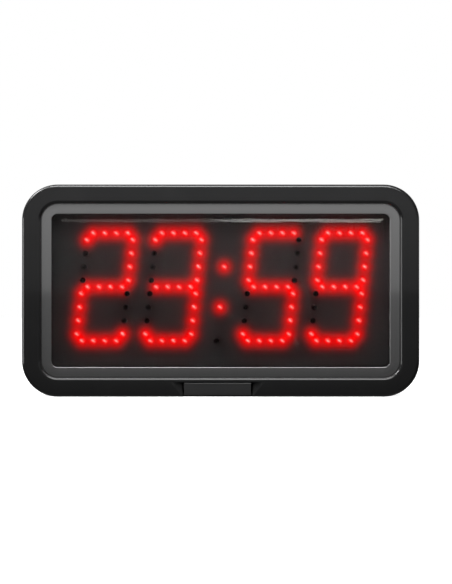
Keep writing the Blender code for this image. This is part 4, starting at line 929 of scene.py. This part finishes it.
def makeLatch():
    values = latchValues
    pivot = Vector(latchJoint["pos_m"])
    face = tabLow.y
    tab = bmesh.new()
    bottom = tabTop - frontValues["tabHeight"]
    blockBetween(tab, (tabLow.x, face, bottom), (tabHigh.x, face + values["thickness"], tabTop))
    outer = [e for e in tab.edges if all(v.co.y < face + 1e-6 for v in e.verts)]
    lowerFront = [e for e in outer if all(v.co.z < tabTop - values["lowerRegion"] for v in e.verts)]
    sides = [e for e in outer if e not in lowerFront]
    bevelEdges(tab, lowerFront, values["lowerEdge"], 5)
    bevelEdges(tab, [e for e in sides if e.is_valid], values["tabEdge"], 3)
    piece = roughPiece("releaseLatch", tab)
    lever = bmesh.new()
    left, right = tabMiddle - values["barrelHalf"], tabMiddle + values["barrelHalf"]
    rodAlong(lever, "X", left, right, (pivot.y, pivot.z), values["barrel"], 32)
    back = face + values["thickness"]
    setIn = values["setIn"]
    webLow = (left + setIn, back - setIn, pivot.z - values["webDrop"])
    blockBetween(lever, webLow, (right - setIn, pivot.y, pivot.z + values["webRise"]))
    half, armHalf = values["arm"] / 2, values["armHalf"]
    blockBetween(lever, (-armHalf, pivot.y, pivot.z - half), (armHalf, tabHigh.y, pivot.z + half))
    tip = (armHalf - setIn, tabHigh.y - setIn, pivot.z - half + setIn)
    hookLow = (-tip[0], tabHigh.y - values["hookDepth"], pivot.z - half - values["hookDrop"])
    blockBetween(lever, hookLow, tip)
    springLow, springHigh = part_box("latch_spring")
    middle = (springLow + springHigh) / 2
    stubTop = springLow.z + values["stubRise"]
    rodAlong(lever, "Z", pivot.z, stubTop, (0, middle.y), values["stub"], 20)
    applyTool(piece, lever, "UNION", selfCrossing=True)
    bore = bmesh.new()
    margin = caseValues["cutMargin"]
    rodAlong(bore, "X", left - margin, right + margin, (pivot.y, pivot.z), values["bore"], 24)
    applyTool(piece, bore, "DIFFERENCE")
    finishObject(piece, "latchBlack", "latch", "black_abs", ("release_latch",), edge=values["edge"])


springValues = {
    "wire": 0.0007, "wireSegments": 10, "radius": 0.0026, "turns": 5, "stepsPerTurn": 20, "pressed": 0.74,
}


def makeSpring():
    values = springValues
    low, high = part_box("latch_spring")
    middle = (low + high) / 2
    bm = bmesh.new()
    ring = bmesh.ops.create_circle(
        bm, cap_ends=False, segments=values["wireSegments"], radius=values["wire"] / 2
    )["verts"]
    bmesh.ops.rotate(bm, verts=ring, cent=(0, 0, 0), matrix=Matrix.Rotation(math.pi / 2, 3, "X"))
    start = Vector((values["radius"], middle.y, low.z + values["wire"] / 2))
    bmesh.ops.translate(bm, verts=ring, vec=start)
    steps = values["turns"] * values["stepsPerTurn"]
    rise = (high.z - low.z - values["wire"]) / steps
    bmesh.ops.spin(
        bm, geom=bm.verts[:] + bm.edges[:], cent=(0, middle.y, 0), axis=(0, 0, 1), dvec=(0, 0, rise),
        angle=2 * math.pi * values["turns"], steps=steps, use_duplicate=False,
    )
    bmesh.ops.holes_fill(bm, edges=[edge for edge in bm.edges if edge.is_boundary], sides=0)
    bmesh.ops.recalc_face_normals(bm, faces=bm.faces)
    piece = finishPiece("latchSpring", bm, "springWire", slot="spring_steel", replaces=("latch_spring",))
    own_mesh(piece)


rearValues = {
    "rim": 0.0034, "recess": 0.008, "panel": 0.0025, "fillet": 0.003, "filletSegments": 7,
    "ventCount": 9, "ventWidth": 0.0026, "ventHeight": 0.018, "ventPitch": 0.007, "ventZ": 0.066,
    "hookX": 0.070, "hookZ": 0.040, "hookSlotHalf": 0.0086, "hookSlotDrop": 0.0065, "hookSlotTop": 0.0423,
    "pocket": 0.019, "pocketDepth": 0.020, "pocketWall": 0.0022, "postRadius": 0.0045, "postEnd": 0.024,
    "boardPostRadius": 0.0032, "buttonPostRadius": 0.003, "boreRadius": 0.0031, "boreDepth": 0.0053,
    "grilleRadius": 0.0075, "grilleHole": 0.0014, "grilleHoles": 8, "edge": 0.0002,
    "firstVent": 4, "ventRound": 0.98, "strikerHalf": 0.010, "strikerLow": -0.0909, "strikerTop": -0.0821,
    "keyWindow": (0.0063, 0.0033), "keyWindowTop": 0.004, "inletHole": 0.0043,
}


def makeRearHousing():
    values = rearValues
    seam = caseValues["seam"] + caseValues["fitGap"]
    bm = caseBlock(0, seam, housingHigh.y)
    back = facesAlong(bm, (0, 1, 0))[0]
    insetFace(bm, back, values["rim"])
    pushFace(bm, back, -values["recess"] - housingHigh.y)
    front = facesAlong(bm, (0, -1, 0))[0]
    insetFace(bm, front, caseValues["wall"])
    pushFace(bm, front, -values["recess"] - values["panel"] - seam)
    bevelEdges(bm, rimEdges(bm, housingHigh.y, True), values["fillet"], values["filletSegments"])
    piece = roughPiece("rearHousing", bm)
    applyTool(piece, rearPosts(), "UNION")
    applyTool(piece, rearCuts(), "DIFFERENCE")
    applyTool(piece, rearBores(), "DIFFERENCE")
    finishObject(piece, "caseBlack", "case", "black_abs", ("rear_housing",), edge=values["edge"])


def inletCentre():
    low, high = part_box("inlet_nut")
    return (low + high) / 2


def rearPosts():
    values = rearValues
    bm = bmesh.new()
    buried = -values["recess"] - values["panel"] + caseValues["overlap"]
    for place in screwPlaces("case", 6):
        rodAlong(bm, "Y", -values["postEnd"], buried, (place.x, place.z), values["postRadius"], 28)
    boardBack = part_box("control_board")[1].y + caseValues["fitGap"]
    for place in screwPlaces("control", 4):
        rodAlong(bm, "Y", boardBack, buried, (place.x, place.z), values["boardPostRadius"], 24)
    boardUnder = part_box("button_board")[0].z - caseValues["fitGap"]
    for place in screwPlaces("button", 2):
        inside = caseLow.z + caseValues["wall"] - caseValues["overlap"]
        rodAlong(bm, "Z", inside, boardUnder, (place.x, place.y), values["buttonPostRadius"], 24)
    inlet = inletCentre()
    half = values["pocket"] / 2 + values["pocketWall"]
    front = -values["pocketDepth"] - values["pocketWall"]
    blockBetween(bm, (inlet.x - half, front, inlet.z - half), (inlet.x + half, buried, inlet.z + half))
    return bm


def rearCuts():
    values = rearValues
    bm = bmesh.new()
    margin = caseValues["cutMargin"]
    behind = -values["recess"] + margin
    before = -values["recess"] - values["panel"] - margin
    for side in (-1, 1):
        x = side * values["hookX"]
        low = (x - values["hookSlotHalf"], before, values["hookZ"] - values["hookSlotDrop"])
        blockBetween(bm, low, (x + values["hookSlotHalf"], behind, values["hookSlotTop"]))
        for i in range(values["ventCount"]):
            vent = side * values["ventPitch"] * (i + values["firstVent"])
            half, rise = values["ventWidth"] / 2, values["ventHeight"] / 2
            low = (vent - half, before, values["ventZ"] - rise)
            made = blockBetween(bm, low, (vent + half, behind, values["ventZ"] + rise))
            ends = {e for v in made for e in v.link_edges if abs(e.verts[0].co.y - e.verts[1].co.y) > 1e-6}
            bevelEdges(bm, list(ends), half * values["ventRound"], 5)
    low = (-values["strikerHalf"], before, values["strikerLow"])
    blockBetween(bm, low, (values["strikerHalf"], behind, values["strikerTop"]))
    inlet = inletCentre()
    half = values["pocket"] / 2
    low = (inlet.x - half, -values["pocketDepth"], inlet.z - half)
    blockBetween(bm, low, (inlet.x + half, behind, inlet.z + half))
    for name in ("mode", "set", "start"):
        capLow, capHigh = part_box(f"{name}_button")
        middle = (capLow + capHigh) / 2
        window = Vector((*values["keyWindow"], 0))
        low = middle - window
        high = middle + window
        top = caseLow.z + values["keyWindowTop"]
        blockBetween(bm, (low.x, low.y, caseLow.z - margin), (high.x, high.y, top))
    return bm


def rearBores():
    values = rearValues
    bm = bmesh.new()
    margin = caseValues["cutMargin"]
    behind = -values["recess"] + margin
    boreEnd = -values["recess"] - values["boreDepth"]
    for place in screwPlaces("case", 6):
        rodAlong(bm, "Y", boreEnd, behind, (place.x, place.z), values["boreRadius"], 28)
    inlet = inletCentre()
    ends = (-values["pocketDepth"] - values["pocketWall"] - margin, -values["pocketDepth"] + margin)
    rodAlong(bm, "Y", *ends, (inlet.x, inlet.z), values["inletHole"], 28)
    low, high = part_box("sounder")
    middle = (low + high) / 2
    for i in range(values["grilleHoles"]):
        turn = 2 * math.pi * i / values["grilleHoles"]
        x = middle.x + values["grilleRadius"] * math.cos(turn)
        z = middle.z + values["grilleRadius"] * math.sin(turn)
        ends = (-values["recess"] - values["panel"] - margin, behind)
        rodAlong(bm, "Y", *ends, (x, z), values["grilleHole"], 12)
    return bm


def refinedCopy(node, name, material, slot, body="case", edge=0.0002, segments=2):
    # the CAD shape with merged faces and softened edges
    source = frame["nodes"][node]
    bm = bmesh.new()
    bm.from_mesh(source.data)
    bmesh.ops.remove_doubles(bm, verts=bm.verts, dist=1e-6)
    bmesh.ops.dissolve_limit(
        bm, angle_limit=math.radians(1), verts=bm.verts, edges=bm.edges, use_dissolve_boundaries=False
    )
    for layer in list(bm.loops.layers.uv):
        bm.loops.layers.uv.remove(layer)
    finishPiece(name, bm, material, body, slot, (node,), smoothAngle=30, edge=edge, edgeSegments=segments)


screwValues = {
    "shank": 0.0014, "head": 0.0028, "rise": 0.0022, "tipShare": 0.55, "tipLength": 0.0012, "steps": 28,
    "slotWidth": 0.00055, "slotLength": 0.0034, "slotDepth": 0.0011, "edge": 0.00008,
    # the head's crown as shares of its radius and rise
    "crown": ((1.0, 0.45), (0.9, 0.78), (0.6, 1.0), (0.0, 1.0)),
}


def makeScrew(name, node, direction, slot="zinc_steel"):
    # a cross-head machine screw, turned from its half outline
    values = screwValues
    low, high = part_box(node)
    size = high - low
    length = max(size) - values["rise"]
    shank, head, rise = values["shank"], values["head"], values["rise"]
    outline = [(0.0, -length), (shank * values["tipShare"], -length), (shank, -length + values["tipLength"])]
    outline += [(shank, 0.0), (head, 0.0)]
    outline += [(head * wide, rise * tall) for wide, tall in values["crown"]]
    bm = bmesh.new()
    verts = [bm.verts.new((radius, 0, level)) for radius, level in outline]
    for pair in zip(verts, verts[1:]):
        bm.edges.new(pair)
    bmesh.ops.spin(
        bm, geom=bm.verts[:] + bm.edges[:], cent=(0, 0, 0), axis=(0, 0, 1), angle=2 * math.pi,
        steps=values["steps"], use_merge=True,
    )
    bmesh.ops.remove_doubles(bm, verts=bm.verts, dist=1e-6)
    bmesh.ops.recalc_face_normals(bm, faces=bm.faces)
    piece = roughPiece(name, bm)
    reach, half = values["slotLength"] / 2, values["slotWidth"] / 2
    bottom, top = rise - values["slotDepth"], rise + caseValues["cutMargin"]
    for x, y in ((reach, half), (half, reach)):
        cross = bmesh.new()
        blockBetween(cross, (-x, -y, bottom), (x, y, top))
        applyTool(piece, cross, "DIFFERENCE")
    turn = Vector(direction).to_track_quat("Z", "Y").to_matrix().to_4x4()
    middle = (low + high) / 2
    along = Vector(direction)
    seat = middle + along * (length - values["rise"]) / 2
    piece.data.transform(Matrix.Translation(seat) @ turn)
    finishObject(piece, "zincPlate", "case", slot, (node,), edge=values["edge"])


inletValues = {
    "shoulder": 0.009, "barrel": 0.004, "bore": 0.0029, "floor": 0.002, "pin": 0.001, "edge": 0.0002,
}


def makeInlet():
    values = inletValues
    margin = caseValues["cutMargin"]
    low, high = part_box("power_inlet")
    middle = inletCentre()
    centre = (middle.x, middle.z)
    shoulder = low.y + values["shoulder"]
    bm = bmesh.new()
    blockBetween(bm, (low.x, low.y, low.z), (high.x, shoulder, high.z))
    piece = roughPiece("powerInlet", bm)
    barrel = bmesh.new()
    rodAlong(barrel, "Y", shoulder - margin, high.y, centre, values["barrel"], 40)
    applyTool(piece, barrel, "UNION")
    bore = bmesh.new()
    rodAlong(bore, "Y", low.y + values["floor"], high.y + margin, centre, values["bore"], 36)
    applyTool(piece, bore, "DIFFERENCE")
    pin = bmesh.new()
    rodAlong(pin, "Y", low.y + margin, high.y - margin, centre, values["pin"], 20)
    applyTool(piece, pin, "UNION")
    finishObject(piece, "chipBlack", "case", "chip_black", ("power_inlet",), edge=values["edge"])
    refinedCopy("inlet_nut", "inletNut", "zincPlate", "zinc_steel")


labelValues = {"left": 0.124, "right": 0.160, "halfHeight": 0.022, "thickness": 0.00015, "corner": 0.002}


def makeLabel():
    # blank rating label on the rear panel, beside the wall plate
    values = labelValues
    bm = bmesh.new()
    panel = -rearValues["recess"]
    low = (values["left"], panel, -values["halfHeight"])
    blockBetween(bm, low, (values["right"], panel + values["thickness"], values["halfHeight"]))
    upright = [edge for edge in bm.edges if abs(edge.verts[0].co.y - edge.verts[1].co.y) > 1e-6]
    bevelEdges(bm, upright, values["corner"], 5)
    finishPiece("ratingLabel", bm, "labelVinyl", slot="black_abs")


makeFrontFrame()
makeTrimRing()
makeLens()
makeSealRing("lensGasket", "lens_gasket", "sealRubber", "black_rubber", 0.0035, 0.0002)
makeSealRing("spacerFrame", "spacer_frame", "sealRubber", "black_abs", 0.003, 0.0004)
print("front ready")
ledGroups = displayGroups()
for node, leds in ledGroups.items():
    makeDigit(node.replace("led_digit_", "ledDigit").replace("led_colon", "ledColon"), node, leds)
makePanel(ledGroups)
print("display ready")
makeLatch()
makeSpring()
makeRearHousing()
makeInlet()
makeLabel()
refinedCopy("wall_plate", "wallPlate", "zincPlate", "zinc_steel", edge=0.00025)
for name in ("mode", "set", "start"):
    body = f"{name}_key"
    refinedCopy(f"{name}_button", f"{name}Button", "buttonGrey", "button_grey", body, edge=0.0004, segments=3)
print("back ready")
for kind, count, direction in (
    ("case", 6, (0, 1, 0)), ("display", 4, (0, 1, 0)), ("control", 4, (0, -1, 0)), ("button", 2, (0, 0, 1))
):
    for i in range(count):
        makeScrew(f"{kind}Screw{i + 1}", f"{kind}_screw_{i + 1}", direction)
print("screws ready")

slotFinish = {
    "black_abs": "caseBlack", "grey_trim": "trimGrey", "black_rubber": "sealRubber",
    "board_green": "boardGreen", "chip_black": "chipBlack", "zinc_steel": "zincPlate",
    "spring_steel": "springWire", "aluminium": "finAluminium",
    "sleeve_blue": "capacitorSleeve", "ribbon_grey": "ribbonInsulation", "button_grey": "buttonGrey",
    "red_led": "ledUnlit", "smoked_acrylic": "smokedAcrylic",
}
for part in frame["record"]["subparts"]:
    node = frame["nodes"][part["node"]]
    for slot in node.material_slots:
        slot.material = materials[slotFinish[part["material_slot"]]]
print("carried parts finished")
